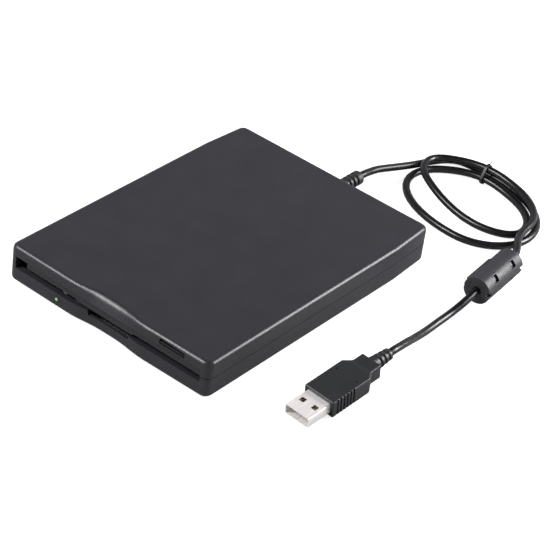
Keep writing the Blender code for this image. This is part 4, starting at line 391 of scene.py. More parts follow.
def apply_modifier(piece, kind, **settings):
    """Add a modifier, give it its settings and apply it."""
    pick(piece)
    modifier = piece.modifiers.new(kind.title(), kind)
    for key, value in settings.items():
        setattr(modifier, key, value)
    bpy.ops.object.modifier_apply(modifier=modifier.name)


def round_edges(piece, width, segments=2, angle=35):
    """Round every edge sharper than the angle, as a mould or a press leaves it."""
    apply_modifier(piece, "BEVEL", width=width, segments=segments, limit_method="ANGLE",
                   angle_limit=math.radians(angle), use_clamp_overlap=True, miter_outer="MITER_ARC")


def carve(piece, cutter):
    """Cut one piece with another, which is used up."""
    apply_modifier(piece, "BOOLEAN", object=cutter, operation="DIFFERENCE", solver="EXACT")
    bpy.data.objects.remove(cutter)


def cut_box(piece, low, high, place=Matrix()):
    """Cut a box between two corners out of a piece, the box laid at a place."""
    cutter = start_block("cutter", low, high)
    cutter.data.transform(place)
    carve(piece, cutter)


def smooth(piece, angle=40):
    """Smooth shading that keeps the flat faces flat and the hard edges hard."""
    pick(piece)
    bpy.ops.object.shade_smooth_by_angle(angle=math.radians(angle))
    modifier = piece.modifiers.new("EvenLight", "WEIGHTED_NORMAL")
    modifier.keep_sharp = True
    bpy.ops.object.modifier_apply(modifier=modifier.name)


def dress(piece, finish, body):
    """Give a piece its finish, and let it ride on its body."""
    piece.data.materials.clear()
    piece.data.materials.append(FINISHES[finish])
    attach(piece, body)


def smooth_route(stops):
    """Close points on a smooth line through the stops."""
    guides = [stops[0] * 2 - stops[1], *stops, stops[-1] * 2 - stops[-2]]
    points = []
    for number in range(1, len(guides) - 2):
        before, here, ahead, beyond = guides[number - 1:number + 3]
        for step in range(ROUTE_STEPS):
            t = step / ROUTE_STEPS
            slope_in = (ahead - before) / 2
            slope_out = (beyond - here) / 2
            point = here * (2 * t**3 - 3 * t**2 + 1) + slope_in * (t**3 - 2 * t**2 + t)
            point += ahead * (3 * t**2 - 2 * t**3) + slope_out * (t**3 - t**2)
            points.append(point)
    points.append(stops[-1])
    return points


def tie_lift(x, y):
    """How far the strands rise where the twist tie passes under them."""
    if y < LOOP_SIDE_Y:
        return 0
    near = max(0, 1 - ((x - TIE_X) / TIE_SPREAD) ** 2)
    return (TIE_THICKNESS + TIE_CLEARANCE) * near * near


def loop_points():
    """The tied loops: quarter ellipses from stop to stop, the last turn lying on the others."""
    level = CORD_DIAMETER / 2
    points = []
    first_x, first_y = LOOP_STOPS[0]
    for step in range(LEAD_IN_STEPS):
        x = LOOP_START_X + (first_x - LOOP_START_X) * step / LEAD_IN_STEPS
        points.append(Vector((x, first_y, level + tie_lift(x, first_y))))
    last = len(LOOP_STOPS) - 2
    for number, (start, end) in enumerate(zip(LOOP_STOPS, LOOP_STOPS[1:])):
        for step in range(LOOP_STEPS + 1 if number == last else LOOP_STEPS):
            turn = math.pi / 2 * step / LOOP_STEPS
            early, late = math.sin(turn), math.cos(turn)
            if number % 2 == 0:
                x = start[0] + (end[0] - start[0]) * early
                y = end[1] + (start[1] - end[1]) * late
            else:
                x = end[0] + (start[0] - end[0]) * late
                y = start[1] + (end[1] - start[1]) * early
            passed = (number + step / LOOP_STEPS - LIFT_START) / LIFT_QUARTERS
            share = min(1, max(0, passed))
            rise = STACK_RISE * share * share * (3 - 2 * share)
            points.append(Vector((x, y, level + rise + tie_lift(x, y))))
    return points


def ferrite_matrix():
    """The ferrite's place: the middle of its bore, +Y towards the loops."""
    return (Matrix.Translation((FERRITE_X, FERRITE_Y, FERRITE_LEVEL))
            @ Matrix.Rotation(FERRITE_TURN, 4, "Z"))


def window_matrix():
    """The ferrite's place, turned so that +X looks out of its latch windows."""
    return ferrite_matrix() @ Matrix.Rotation(-WINDOW_TURN, 4, "Y")


def plug_matrix():
    """The plug's place: the middle of its grip's front face, the metal shell towards -Y."""
    drop = PLUG_BODY_HEIGHT / 2 * math.cos(PLUG_PITCH)
    return (Matrix.Translation((PLUG_X, PLUG_Y, drop + PLUG_LIFT))
            @ Matrix.Rotation(PLUG_YAW, 4, "Z") @ Matrix.Rotation(PLUG_PITCH, 4, "X"))


def cord_route():
    """The whole cord's centreline, from inside the strain relief to inside the plug's."""
    place = ferrite_matrix()
    bore = [place @ Vector((0, share * FERRITE_LENGTH, 0)) for share in FERRITE_SHARES]
    tail = plug_matrix() @ Vector((0, PLUG_LENGTH, 0))
    inside = plug_matrix() @ Vector((0, PLUG_LENGTH - CORD_DIAMETER / 3, 0))
    beyond = plug_matrix() @ Vector((0, PLUG_LENGTH + CORD_DIAMETER, 0))
    loops = loop_points()
    lead = [Vector(point) for point in (RELIEF_TIP, *LEAD_ROUTE)]
    first = smooth_route([*lead, *loops[:2]])[:-ROUTE_STEPS]
    stops = [*loops[-2:], *[Vector(point) for point in TAIL_ROUTE], *bore]
    stops += [*[Vector(point) for point in END_ROUTE], beyond, tail, inside]
    last = smooth_route(stops)[ROUTE_STEPS:]
    line = [*first, *loops[:-1], *last]
    kept = [line[0]]
    for point in line[1:]:
        if (point - kept[-1]).length >= CORD_STEP:
            kept.append(point)
    kept[-1] = line[-1]
    return kept


def add_node(tree, kind, values=None, links=None, **settings):
    """A shader node with its settings, the values of its inputs and what feeds them."""
    node = tree.nodes.new(kind)
    for key, value in settings.items():
        setattr(node, key, value)
    for socket, value in (values or {}).items():
        node.inputs[socket].default_value = value
    for socket, source in (links or {}).items():
        tree.links.new(source, node.inputs[socket])
    return node


def new_finish(name, roughness, metal=0.0, coat=0.0, specular=0.5):
    """A material with its shader and its object coordinates, and the constants on the shader."""
    finish = bpy.data.materials.new(name)
    finish.use_nodes = True
    tree = finish.node_tree
    shader = tree.nodes["Principled BSDF"]
    for socket, value in (("Roughness", roughness), ("Metallic", metal), ("Coat Weight", coat),
                          ("Coat Roughness", COAT_ROUGHNESS), ("Specular IOR Level", specular)):
        shader.inputs[socket].default_value = value
    return finish, tree, shader, add_node(tree, "ShaderNodeTexCoord").outputs["Object"]


def noise(tree, place, size, detail=2.0, stretch=None):
    """A noise whose features are about that size in metres, stretched along an axis if asked."""
    if stretch:
        mapping = add_node(tree, "ShaderNodeMapping", {"Scale": stretch}, {"Vector": place})
        place = mapping.outputs["Vector"]
    grain = add_node(tree, "ShaderNodeTexNoise", {"Scale": 1 / size, "Detail": detail},
                     {"Vector": place})
    return grain.outputs["Fac"]


def spread(tree, value, low, high):
    """Map the usual span of a noise onto a range."""
    fit = add_node(tree, "ShaderNodeMapRange",
                   {"From Min": NOISE_LOW, "From Max": NOISE_HIGH, "To Min": low, "To Max": high},
                   {"Value": value})
    return fit.outputs["Result"]


def tones(tree, value, dark, light, low=NOISE_LOW, high=NOISE_HIGH):
    """A ramp from one linear colour to another as the value goes from low to high."""
    ramp = add_node(tree, "ShaderNodeValToRGB", links={"Fac": value})
    for element, place, colour in zip(ramp.color_ramp.elements, (low, high), (dark, light)):
        element.position = place
        element.color = (*colour, 1)
    return ramp.outputs["Color"]


def blend(tree, share, colour, other):
    """Turn a colour into a fixed linear one where the share is high."""
    mix = add_node(tree, "ShaderNodeMix", {"B": (*other, 1)}, {"Factor": share, "A": colour},
                   data_type="RGBA")
    return mix.outputs["Result"]


def relief(tree, shader, value, height, strength=1.0, under=None):
    """A bump of a real height in metres, stacked on another one if given."""
    bump = add_node(tree, "ShaderNodeBump", {"Strength": strength, "Distance": height},
                    {"Height": value})
    if under:
        tree.links.new(under, bump.inputs["Normal"])
    tree.links.new(bump.outputs["Normal"], shader.inputs["Normal"])
    return bump.outputs["Normal"]


def paint(tree, shader, colour, sheen):
    """Feed the shader's colour and its roughness."""
    tree.links.new(colour, shader.inputs["Base Color"])
    tree.links.new(sheen, shader.inputs["Roughness"])


def worn_and_highlit_edges(tree, colour, wear_and_highlight, reach):
    """Lighter edges, as rubbed wear and, on the button, as a painted highlight: the bevelled normal
    departs from the true one near an edge.
    """
    bevel = add_node(tree, "ShaderNodeBevel", {"Radius": reach}, samples=EDGE_WEAR_AND_HIGHLIGHT_SAMPLES)
    shape = add_node(tree, "ShaderNodeNewGeometry")
    match = add_node(tree, "ShaderNodeVectorMath",
                     links={0: bevel.outputs["Normal"], 1: shape.outputs["Normal"]},
                     operation="DOT_PRODUCT")
    edge = add_node(tree, "ShaderNodeMapRange", {"From Min": EDGE_WEAR_AND_HIGHLIGHT_START, "From Max": EDGE_WEAR_AND_HIGHLIGHT_FULL},
                    {"Value": match.outputs["Value"]})
    return blend(tree, edge.outputs["Result"], colour, wear_and_highlight)


def moulded(name, dark, light, roughness, grain, height, specular=0.5, wear_and_highlight=None):
    """Spark-eroded moulded plastic: fine even grain, faint flow tones and slightly lighter edges,
    which are rubbed wear and, on the button, a painted highlight.
    """
    finish, tree, shader, place = new_finish(name, roughness, specular=specular)
    colour = tones(tree, noise(tree, place, grain * FLOW_SPAN, FLOW_DETAIL), dark, light)
    if wear_and_highlight:
        colour = worn_and_highlit_edges(tree, colour, wear_and_highlight, grain * EDGE_WEAR_AND_HIGHLIGHT_SPAN)
    sheen = spread(tree, noise(tree, place, grain * SHEEN_SPAN),
                   roughness - SHEEN_SWING, roughness + SHEEN_SWING)
    paint(tree, shader, colour, sheen)
    swell = relief(tree, shader, noise(tree, place, grain * SWELL_SPAN, detail=1),
                   height * SWELL_HEIGHT, SWELL_STRENGTH)
    relief(tree, shader, noise(tree, place, grain), height, under=swell)
    return finish


def drawn_metal(name, dark, light, roughness, line, stretch, height=0.00002, metal=1.0):
    """Rolled or turned metal: fine lines along one direction and a cloudy plating."""
    finish, tree, shader, place = new_finish(name, roughness, metal=metal)
    lines = noise(tree, place, line, LINE_DETAIL, stretch)
    cloud = noise(tree, place, line * LINE_CLOUD_SPAN)
    scaled = add_node(tree, "ShaderNodeMath", {1: LINE_SHARE}, {0: lines}, operation="MULTIPLY")
    both = add_node(tree, "ShaderNodeMath", {1: 1 - LINE_SHARE},
                    {0: cloud, 2: scaled.outputs["Value"]}, operation="MULTIPLY_ADD")
    paint(tree, shader,
          tones(tree, both.outputs["Value"], dark, light, CLOUD_LOW, CLOUD_HIGH),
          spread(tree, lines, roughness - LINE_SMOOTHER, roughness + LINE_ROUGHER))
    relief(tree, shader, lines, height, LINE_STRENGTH)
    return finish


def banded(name, dark, light, pitch, roughness, metal, height, axis, kind="BANDS"):
    """Fine even bands: the turns of a winding or the tracks of a flat cable."""
    finish, tree, shader, place = new_finish(name, roughness, metal=metal)
    wave = add_node(tree, "ShaderNodeTexWave",
                    {"Scale": BAND_UNIT / pitch, "Distortion": BAND_BEND}, {"Vector": place},
                    wave_type=kind, bands_direction=axis, rings_direction=axis)
    paint(tree, shader,
          tones(tree, wave.outputs["Fac"], dark, light, BAND_LOW, BAND_HIGH),
          spread(tree, noise(tree, place, pitch * BAND_SHEEN_SPAN),
                 roughness - BAND_SMOOTHER, roughness + BAND_ROUGHER))
    relief(tree, shader, wave.outputs["Fac"], height, BAND_STRENGTH)
    return finish


def cord_vinyl():
    """The cord's glossy vinyl: nearly smooth, with faint waves from extrusion and dust in it."""
    finish, tree, shader, place = new_finish("Cord vinyl", roughness=0.3, specular=0.42)
    paint(tree, shader,
          tones(tree, noise(tree, place, VINYL_CLOUD), *VINYL_TONES),
          spread(tree, noise(tree, place, VINYL_DUST, detail=3), *VINYL_DUST_SHEEN))
    relief(tree, shader, noise(tree, place, VINYL_WAVE, detail=1), VINYL_WAVE_HEIGHT,
           strength=0.4)
    return finish


def green_lens():
    """The light guide's tinted plastic: a bright heart in a darker ring, under a clear gloss."""
    finish, tree, shader, place = new_finish("Green light guide", roughness=0.25, coat=0.6)
    glow = tones(tree, noise(tree, place, GLOW_CLOUD), *GLOW_TONES, CLOUD_LOW, CLOUD_HIGH)
    across = add_node(tree, "ShaderNodeVectorMath", {1: (1, 0, 1), 2: (-LED_X, 0, -LED_LEVEL)},
                      {0: place}, operation="MULTIPLY_ADD")
    reach = add_node(tree, "ShaderNodeVectorMath", links={0: across.outputs["Vector"]},
                     operation="LENGTH")
    ring = add_node(tree, "ShaderNodeMapRange",
                    {"From Min": LED_HEART, "From Max": LED_HEART + LED_FADE},
                    {"Value": reach.outputs["Value"]})
    paint(tree, shader, blend(tree, ring.outputs["Result"], glow, GLOW_RING),
          spread(tree, noise(tree, place, GLOW_GRAIN), *GLOW_SHEEN))
    shader.inputs["Subsurface Weight"].default_value = GLOW_DEPTH_SHARE
    shader.inputs["Subsurface Radius"].default_value = GLOW_REACH
    shader.inputs["Subsurface Scale"].default_value = 1.0
    relief(tree, shader, noise(tree, place, GLOW_WAVE), GLOW_WAVE_HEIGHT, strength=0.4)
    return finish


def board_mask():
    """A circuit board: green solder mask over copper traces, with rows of tinned pads."""
    finish, tree, shader, place = new_finish("Solder mask", roughness=0.32, coat=0.3)
    colours = {f"Color{number}": (*tone, 1) for number, tone in enumerate(BOARD_TONES, 1)}
    bricks = add_node(tree, "ShaderNodeTexBrick",
                      {"Scale": 1 / BOARD_BLOCK, "Mortar Size": BOARD_GAP_SHARE,
                       "Mortar": (*BOARD_BARE, 1), **colours}, {"Vector": place})
    pads = add_node(tree, "ShaderNodeTexVoronoi",
                    {"Scale": 1 / PAD_PITCH, "Randomness": PAD_SCATTER}, {"Vector": place})
    spot = add_node(tree, "ShaderNodeMath", {1: PAD_SHARE}, {0: pads.outputs["Distance"]},
                    operation="LESS_THAN")
    tree.links.new(blend(tree, spot.outputs["Value"], bricks.outputs["Color"], PAD_TIN),
                   shader.inputs["Base Color"])
    relief(tree, shader, bricks.outputs["Fac"], BOARD_TRACE_HEIGHT, strength=0.7)
    return finish


# All rows start with a name and a dark and a light linear colour. Then, with lengths in metres:
# plastics have roughness, grain and relief, metals roughness, line, stretch and relief, and
# bands pitch, roughness, metal, relief and direction.
FINISHES = {
    "case": moulded("Housing plastic", (0.0180, 0.0172, 0.0218), (0.0220, 0.0210, 0.0265),
                    0.36, 0.00022, 0.000012, specular=0.4, wear_and_highlight=(0.036, 0.035, 0.044)),
    "flap": moulded("Flap plastic", (0.0150, 0.0144, 0.0182), (0.0190, 0.0182, 0.0225),
                    0.42, 0.00020, 0.000010, specular=0.4, wear_and_highlight=(0.030, 0.030, 0.037)),
    # The button's near-black colour is painted shade of its deep recess, and its light edge colour
    # is a painted highlight on its lip.
    "button": moulded("Button plastic", (0.0016, 0.0016, 0.0020), (0.0026, 0.0026, 0.0032),
                      0.45, 0.00006, 0.000004, specular=0.2, wear_and_highlight=(0.060, 0.060, 0.072)),
    "rubber": moulded("Rubber", (0.0085, 0.0085, 0.0100), (0.0135, 0.0130, 0.0155),
                      0.50, 0.00030, 0.000012),
    "ferrite shell": moulded("Ferrite shell plastic", (0.0190, 0.0185, 0.0230),
                             (0.0250, 0.0240, 0.0295), 0.48, 0.00028, 0.000014,
                             wear_and_highlight=(0.060, 0.060, 0.072)),
    "plug plastic": moulded("Plug plastic", (0.0095, 0.0100, 0.0118), (0.0140, 0.0145, 0.0168),
                            0.44, 0.00026, 0.000016, wear_and_highlight=(0.016, 0.017, 0.020)),
    "dark plastic": moulded("Dark plastic", (0.0100, 0.0100, 0.0110), (0.0160, 0.0160, 0.0175),
                            0.42, 0.00020, 0.000008),
    "white plastic": moulded("White plastic", (0.62, 0.61, 0.57), (0.72, 0.71, 0.68),
                             0.42, 0.00020, 0.000006),
    "cord": cord_vinyl(),
    "lens": green_lens(),
    "light rim": moulded("Light guide rim", (0.003, 0.016, 0.004), (0.006, 0.028, 0.007),
                         0.30, 0.00015, 0.000004),
    "sheet steel": drawn_metal("Rolled steel", (0.40, 0.40, 0.40), (0.58, 0.58, 0.57),
                               0.36, 0.0006, (1, 0.04, 1)),
    "wire steel": drawn_metal("Ground steel", (0.50, 0.50, 0.51), (0.66, 0.66, 0.67),
                              0.24, 0.0004, (1, 0.1, 1)),
    "screw steel": drawn_metal("Plated screw", (0.20, 0.20, 0.21), (0.34, 0.34, 0.35),
                               0.34, 0.0003, (1, 1, 0.2)),
    "brass": drawn_metal("Turned brass", (0.55, 0.38, 0.14), (0.76, 0.56, 0.25),
                         0.28, 0.0004, (0.3, 0.3, 1)),
    "cast alloy": drawn_metal("Die-cast alloy", (0.44, 0.44, 0.45), (0.58, 0.58, 0.59),
                              0.45, 0.0007, (1, 1, 1), 0.00004),
    # The plating's light colour, made half diffuse, is partly a painted reflection of the bright
    # surround; the rest is its real reflection.
    "plug metal": drawn_metal("Plug plating", (0.82, 0.78, 0.76), (0.92, 0.88, 0.86),
                              0.38, 0.0012, (1, 0.10, 1), 0.0000004, metal=0.45),
    "gold": drawn_metal("Contact gold", (0.80, 0.56, 0.22), (0.94, 0.73, 0.36),
                        0.22, 0.0003, (1, 0.1, 1), 0.000008),
    "ferrite core": moulded("Sintered ferrite", (0.026, 0.026, 0.028), (0.050, 0.050, 0.053),
                            0.55, 0.00035, 0.00003),
    "board": board_mask(),
    "copper": banded("Copper windings", (0.30, 0.09, 0.03), (0.72, 0.30, 0.12),
                     0.00022, 0.32, 0.9, 0.00006, "X", "RINGS"),
    "flat cable": banded("Flat cable", (0.52, 0.51, 0.47), (0.80, 0.79, 0.74),
                         0.0010, 0.38, 0.0, 0.00003, "X"),
}
SLOT_FINISHES = {
    "case_plastic": "case", "rubber": "rubber", "screw_steel": "screw steel",
    "flap_plastic": "flap", "spring_steel": "wire steel", "button_plastic": "button",
    "green_lens": "lens", "white_plastic": "white plastic", "sheet_steel": "sheet steel",
    "dark_plastic": "dark plastic", "circuit_board": "board", "ribbon_plastic": "flat cable",
    "brass": "brass", "copper_coil": "copper", "cast_alloy": "cast alloy", "cord_jacket": "cord",
    "ferrite_shell": "ferrite shell", "ferrite_core": "ferrite core",
    "plug_plastic": "plug plastic", "plug_metal": "plug metal", "contact_gold": "gold",
}


def body_of_node(node):
    """The body that a CAD node belongs to."""
    bodies = frame["record"]["behaviour"]["bodies"]
    return next(body for body, held in bodies.items() if node in held)


def slot_of_node(node):
    """The material slot that the record gives a CAD node."""
    parts = frame["record"]["subparts"]
    return next(part["material_slot"] for part in parts if part["node"] == node)


def finish_solids():
    """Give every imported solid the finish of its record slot."""
    for part in frame["record"]["subparts"]:
        solid = frame["nodes"][part["node"]]
        finish = FINISHES[SLOT_FINISHES[part["material_slot"]]]
        if not solid.material_slots:
            solid.data.materials.append(finish)
        for held in solid.material_slots:
            held.material = finish


def rolled(height, radius):
    """How far a round of this radius sets the wall in at this height below the top."""
    lean = max(0.0, 1 - height / radius)
    return radius * (1 - math.sqrt(1 - lean * lean))


def roll_edge(piece):
    """Widen the round along the upper shell's top edge, ring by ring, as the mould has it."""
    levels = [SHELL_TOP - ROLL_PACKED * (1 - math.sin(math.pi / 2 * step / ROLL_STEPS))
              for step in range(ROLL_STEPS + 1)]
    points = [point for point in piece.data.vertices if point.co.z > levels[0] - ROLL_REACH]
    foot = [point.co.copy() for point in points if point.co.z < levels[0] + ROLL_REACH]
    share = ROLL / ROLL_PACKED
    for point in points:
        root = min(foot, key=lambda spot: (spot.xy - point.co.xy).length)
        way = point.co.xy - root.xy
        if min(abs(point.co.z - level) for level in levels) < ROLL_REACH:
            point.co.xy = root.xy + way * share
            point.co.z = SHELL_TOP - (SHELL_TOP - point.co.z) * share
        elif way.length < ROLL_PACKED / 2:
            # A corner of the button's opening lies between two rings and follows the wall.
            height = SHELL_TOP - point.co.z
            point.co.y += rolled(height, ROLL) - rolled(height, ROLL_PACKED)


def round_barrel(piece):
    """Draw the ferrite shell's long corners in, so that its section is nearly a circle."""
    edit(piece)
    bpy.ops.mesh.subdivide(number_cuts=BARREL_CUTS)
    done()
    turn = ferrite_matrix()
    back = turn.inverted()
    for point in piece.data.vertices:
        spot = back @ point.co
        reach = math.hypot(spot.x, spot.z)
        if reach > BARREL_RADIUS and spot.x > -BARREL_SIDE:
            spot.x *= BARREL_RADIUS / reach
            spot.z *= BARREL_RADIUS / reach
            point.co = turn @ spot


def notch_barrel(piece):
    """The rounded shell with a pry notch at each end of its latch seam."""
    round_barrel(piece)
    for side in (-1, 1):
        near, far = sorted((side * (FERRITE_LENGTH / 2 - NOTCH_LONG), side * FERRITE_LENGTH))
        cut_box(piece, (BARREL_RADIUS - NOTCH_DEEP, near, -NOTCH_RISE),
                (BARREL_RADIUS + NOTCH_DEEP, far, NOTCH_RISE), ferrite_matrix())


def window_barrel(piece):
    """The notched upper shell with its two latch windows."""
    notch_barrel(piece)
    for side in (-1, 1):
        centre = side * WINDOW_PLACE
        cut_box(piece, (BARREL_RADIUS - WINDOW_DEPTH, centre - WINDOW_LONG / 2, -WINDOW_WIDE / 2),
                (BARREL_RADIUS + WINDOW_DEPTH, centre + WINDOW_LONG / 2, WINDOW_WIDE / 2),
                window_matrix())


def make_catches():
    """The catch that shows in each window of the ferrite's upper shell."""
    pieces = []
    for side, word in ((-1, "front"), (1, "rear")):
        start = side * WINDOW_PLACE - WINDOW_LONG / 2 + CATCH_GAP
        catch = start_block(f"ferrite_catch_{word}",
                            (BARREL_RADIUS - WINDOW_DEPTH - CATCH_GAP, start,
                             CATCH_GAP - WINDOW_WIDE / 4),
                            (BARREL_RADIUS - CATCH_GAP, start + CATCH_LONG,
                             WINDOW_WIDE / 2 - CATCH_GAP))
        catch.data.transform(window_matrix())
        round_edges(catch, CATCH_EDGE)
        smooth(catch)
        dress(catch, "ferrite shell", body_of_node("ferrite_case_upper"))
        pieces.append(catch)
    return pieces


def shorten_tail(piece):
    """Snip the tie's twisted end, as it stands in the photograph."""
    root = Vector((TIE_X, TIE_TAIL_Y, TIE_TOP))
    for point in piece.data.vertices:
        if point.co.z > TIE_TOP:
            point.co = root + (point.co - root) * TIE_TAIL_SHARE


def fine_copy(node, name, width, angle=33, shape=None):
    """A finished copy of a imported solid: welded, its flats joined, its edges rounded, smooth."""
    solid = frame["nodes"][node]
    piece = bpy.data.objects.new(name, solid.data.copy())
    bpy.context.scene.collection.objects.link(piece)
    edit(piece)
    bpy.ops.mesh.remove_doubles(threshold=WELD)
    bpy.ops.mesh.select_all(action="SELECT")
    bpy.ops.mesh.dissolve_limited(angle_limit=FLAT_ANGLE)
    done()
    if shape:
        shape(piece)
    round_edges(piece, width, angle=angle)
    smooth(piece, angle)
    slot = slot_of_node(node)
    dress(piece, SLOT_FINISHES[slot], body_of_node(node))
    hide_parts(node)
    return piece


def make_cord():
    """The cord as one round line from the case to the plug."""
    line = bpy.data.curves.new("cord", "CURVE")
    line.dimensions = "3D"
    line.bevel_depth = CORD_DIAMETER / 2
    line.bevel_resolution = CORD_ROUNDING
    line.use_fill_caps = True
    route = cord_route()
    spline = line.splines.new("POLY")
    spline.points.add(len(route) - 1)
    for held, point in zip(spline.points, route):
        held.co = (*point, 1)
    spline.use_smooth = True
    piece = bpy.data.objects.new("cord", line)
    bpy.context.scene.collection.objects.link(piece)
    piece.data.materials.append(FINISHES["cord"])
    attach(piece, "case")
    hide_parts("cord_lead", "cord_loops", "cord_tail", "cord_end")
    length = sum((two - one).length for one, two in zip(route, route[1:]))
    print("cord length in m:", round(length, 4))
    return piece, length


def make_strain_relief():
    """The rubber sleeve on the rear wall: a collar, deep ring cuts and a rolled mouth."""
    radius = RELIEF_DIAMETER / 2
    neck = RELIEF_NECK / 2
    deep = RELIEF_CUT / radius
    steps = [(RELIEF_START - RELIEF_ROOT, 1), (0, radius / neck), (RELIEF_FIRST_CUT, 1)]
    for _ in range(RELIEF_CUTS):
        steps += [(0, deep), (RELIEF_CUT_WIDTH, 1), (0, 1 / deep),
                  (RELIEF_PITCH - RELIEF_CUT_WIDTH, 1)]
    steps[-1] = (RELIEF_LENGTH - RELIEF_FIRST_CUT - (RELIEF_CUTS - 1) * RELIEF_PITCH
                 - RELIEF_CUT_WIDTH, 1)
    steps += [(0, CORD_DIAMETER / 2 * RELIEF_BORE_SHARE / radius), (-RELIEF_MOUTH, 1)]
    collar = turned("strain_relief_sleeve", (OUTLET_X, RELIEF_ROOT, OUTLET_LEVEL), neck,
                    FACE_REAR, steps)
    round_edges(collar, RELIEF_EDGE, SOFT_STEPS)
    smooth(collar)
    dress(collar, "rubber", "case")
    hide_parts("strain_relief")


def make_plug_grip():
    """The moulded grip: body, shoulders, neck, side ribs and two pits, and its cut sleeve."""
    half = PLUG_BODY_WIDTH / 2
    rise = PLUG_BODY_HEIGHT / 2
    grip = start_block("plug_grip", (-half, 0, -rise), (half, PLUG_BODY_LENGTH, rise))
    edit(grip, lambda face: face.normal.y > ALONG)
    bpy.ops.mesh.extrude_region_move(TRANSFORM_OT_translate={"value": (0, PLUG_TAPER, 0)})
    bpy.ops.transform.resize(value=(PLUG_NECK_WIDTH / PLUG_BODY_WIDTH, 1,
                                    PLUG_NECK_HEIGHT / PLUG_BODY_HEIGHT))
    bpy.ops.mesh.extrude_region_move(TRANSFORM_OT_translate={"value": (0, PLUG_NECK_LENGTH, 0)})
    done()
    round_edges(grip, PLUG_EDGE, PLUG_EDGE_STEPS, PLUG_EDGE_ANGLE)
    shell_half = SHELL_WIDTH / 2 + SHELL_PLAY
    shell_rise = SHELL_HEIGHT / 2 + SHELL_PLAY
    cut_box(grip, (-shell_half, -PLUG_TAPER, -shell_rise), (shell_half, SHELL_ROOT, shell_rise))
    for side in (-1, 1):
        inner, outer = sorted((side * (half - RIB_DEPTH), side * (half + PLUG_TAPER)))
        groove = start_block("groove", (inner, RIB_FIRST, -rise * 2),
                             (outer, RIB_FIRST + RIB_WIDTH, rise * 2))
        apply_modifier(groove, "ARRAY", count=RIB_COUNT, use_relative_offset=False,
                       use_constant_offset=True, constant_offset_displace=(0, RIB_PITCH, 0))
        carve(grip, groove)
    for side in (-1, 1):
        cut_box(grip, (side * PIT_X - PIT_SIZE / 2, PIT_Y, rise - PIT_DEPTH),
                (side * PIT_X + PIT_SIZE / 2, PIT_Y + PIT_SIZE, rise + PIT_DEPTH))
    round_edges(grip, GRIP_FINE_EDGE, angle=CUT_EDGE_ANGLE)
    smooth(grip, PLUG_SMOOTH_ANGLE)
    neck_end = PLUG_BODY_LENGTH + PLUG_TAPER + PLUG_NECK_LENGTH
    bay = PLUG_SLEEVE_LENGTH / (RELIEF_CUTS + 1)
    steps = [(PLUG_EDGE + bay, PLUG_SLEEVE_FIRST_SHARE)]
    for _ in range(RELIEF_CUTS):
        steps += [(0, PLUG_SLEEVE_CUT), (PLUG_CUT_WIDTH, 1),
                  (0, PLUG_SLEEVE_STEP_SHARE / PLUG_SLEEVE_CUT),
                  (bay - PLUG_CUT_WIDTH, PLUG_SLEEVE_TAPER_SHARE)]
    sleeve = turned("plug_sleeve", (0, neck_end - PLUG_EDGE, 0), PLUG_SLEEVE_ROOT / 2,
                    FACE_REAR, steps)
    round_edges(sleeve, RELIEF_EDGE, SOFT_STEPS)
    smooth(sleeve)
    for piece in (grip, sleeve):
        piece.data.transform(plug_matrix())
        dress(piece, "plug plastic", "case")
    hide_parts("plug_overmould")
    return [grip, sleeve]


def runs_back(edge):
    """Whether an edge runs from front to back."""
    return abs((edge.verts[0].co - edge.verts[1].co).normalized().y) > ALONG


def make_plug_shell():
    """The folded metal shell: thin walls, square windows and a bottom seam."""
    half = SHELL_WIDTH / 2
    rise = SHELL_HEIGHT / 2
    shell = start_block("plug_metal_shell", (-half, -SHELL_OUT, -rise), (half, SHELL_ROOT, rise))
    edit(shell, runs_back, "EDGE")
    bpy.ops.mesh.bevel(offset=SHELL_CORNER, segments=SHELL_CORNER_STEPS, affect="EDGES")
    edit(shell, lambda face: abs(face.normal.y) > ALONG)
    bpy.ops.mesh.delete(type="FACE")
    done()
    apply_modifier(shell, "SOLIDIFY", thickness=SHELL_SHEET, offset=-1)
    reach = SHELL_WINDOW / 2
    for side in (-1, 1):
        cut_box(shell, (side * SHELL_WINDOW_X - reach, -SHELL_WINDOW_Y - reach, -SHELL_HEIGHT),
                (side * SHELL_WINDOW_X + reach, -SHELL_WINDOW_Y + reach, SHELL_HEIGHT))
    cut_box(shell, (-SHELL_SEAM / 2, -SHELL_OUT - SHELL_SHEET, -SHELL_HEIGHT),
            (SHELL_SEAM / 2, SHELL_ROOT + SHELL_SHEET, 0))
    round_edges(shell, SHELL_FINE_EDGE, angle=CUT_EDGE_ANGLE)
    smooth(shell)
    shell.data.transform(plug_matrix())
    dress(shell, "plug metal", "case")
    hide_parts("plug_shell")
    return shell


def make_light():
    """The light guide in the lower front wall: a domed green lens in a thin dark rim."""
    root = (LED_X, LED_FACE + LED_DEPTH, LED_LEVEL)
    dome = [(-LED_DOME * rise, share) for rise, share in LED_DOME_SHARES]
    lens = turned("access_light_lens", root, LED_RADIUS, FACE_FRONT, [(-LED_DEPTH, 1), *dome])
    smooth(lens, LED_DOME_ANGLE)
    dress(lens, "lens", "case")
    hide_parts("led_lens")
    rim = turned("access_light_rim", (LED_X, LED_RIM_FACE, LED_LEVEL), LED_RIM, FACE_FRONT,
                 [(-LED_RIM_PROUD, 1)])
    carve(rim, turned("light_way", root, LED_RIM_BORE, FACE_FRONT, [(-LED_DEPTH * 2, 1)]))
    round_edges(rim, LED_RIM_EDGE)
    smooth(rim)
    dress(rim, "light rim", "case")


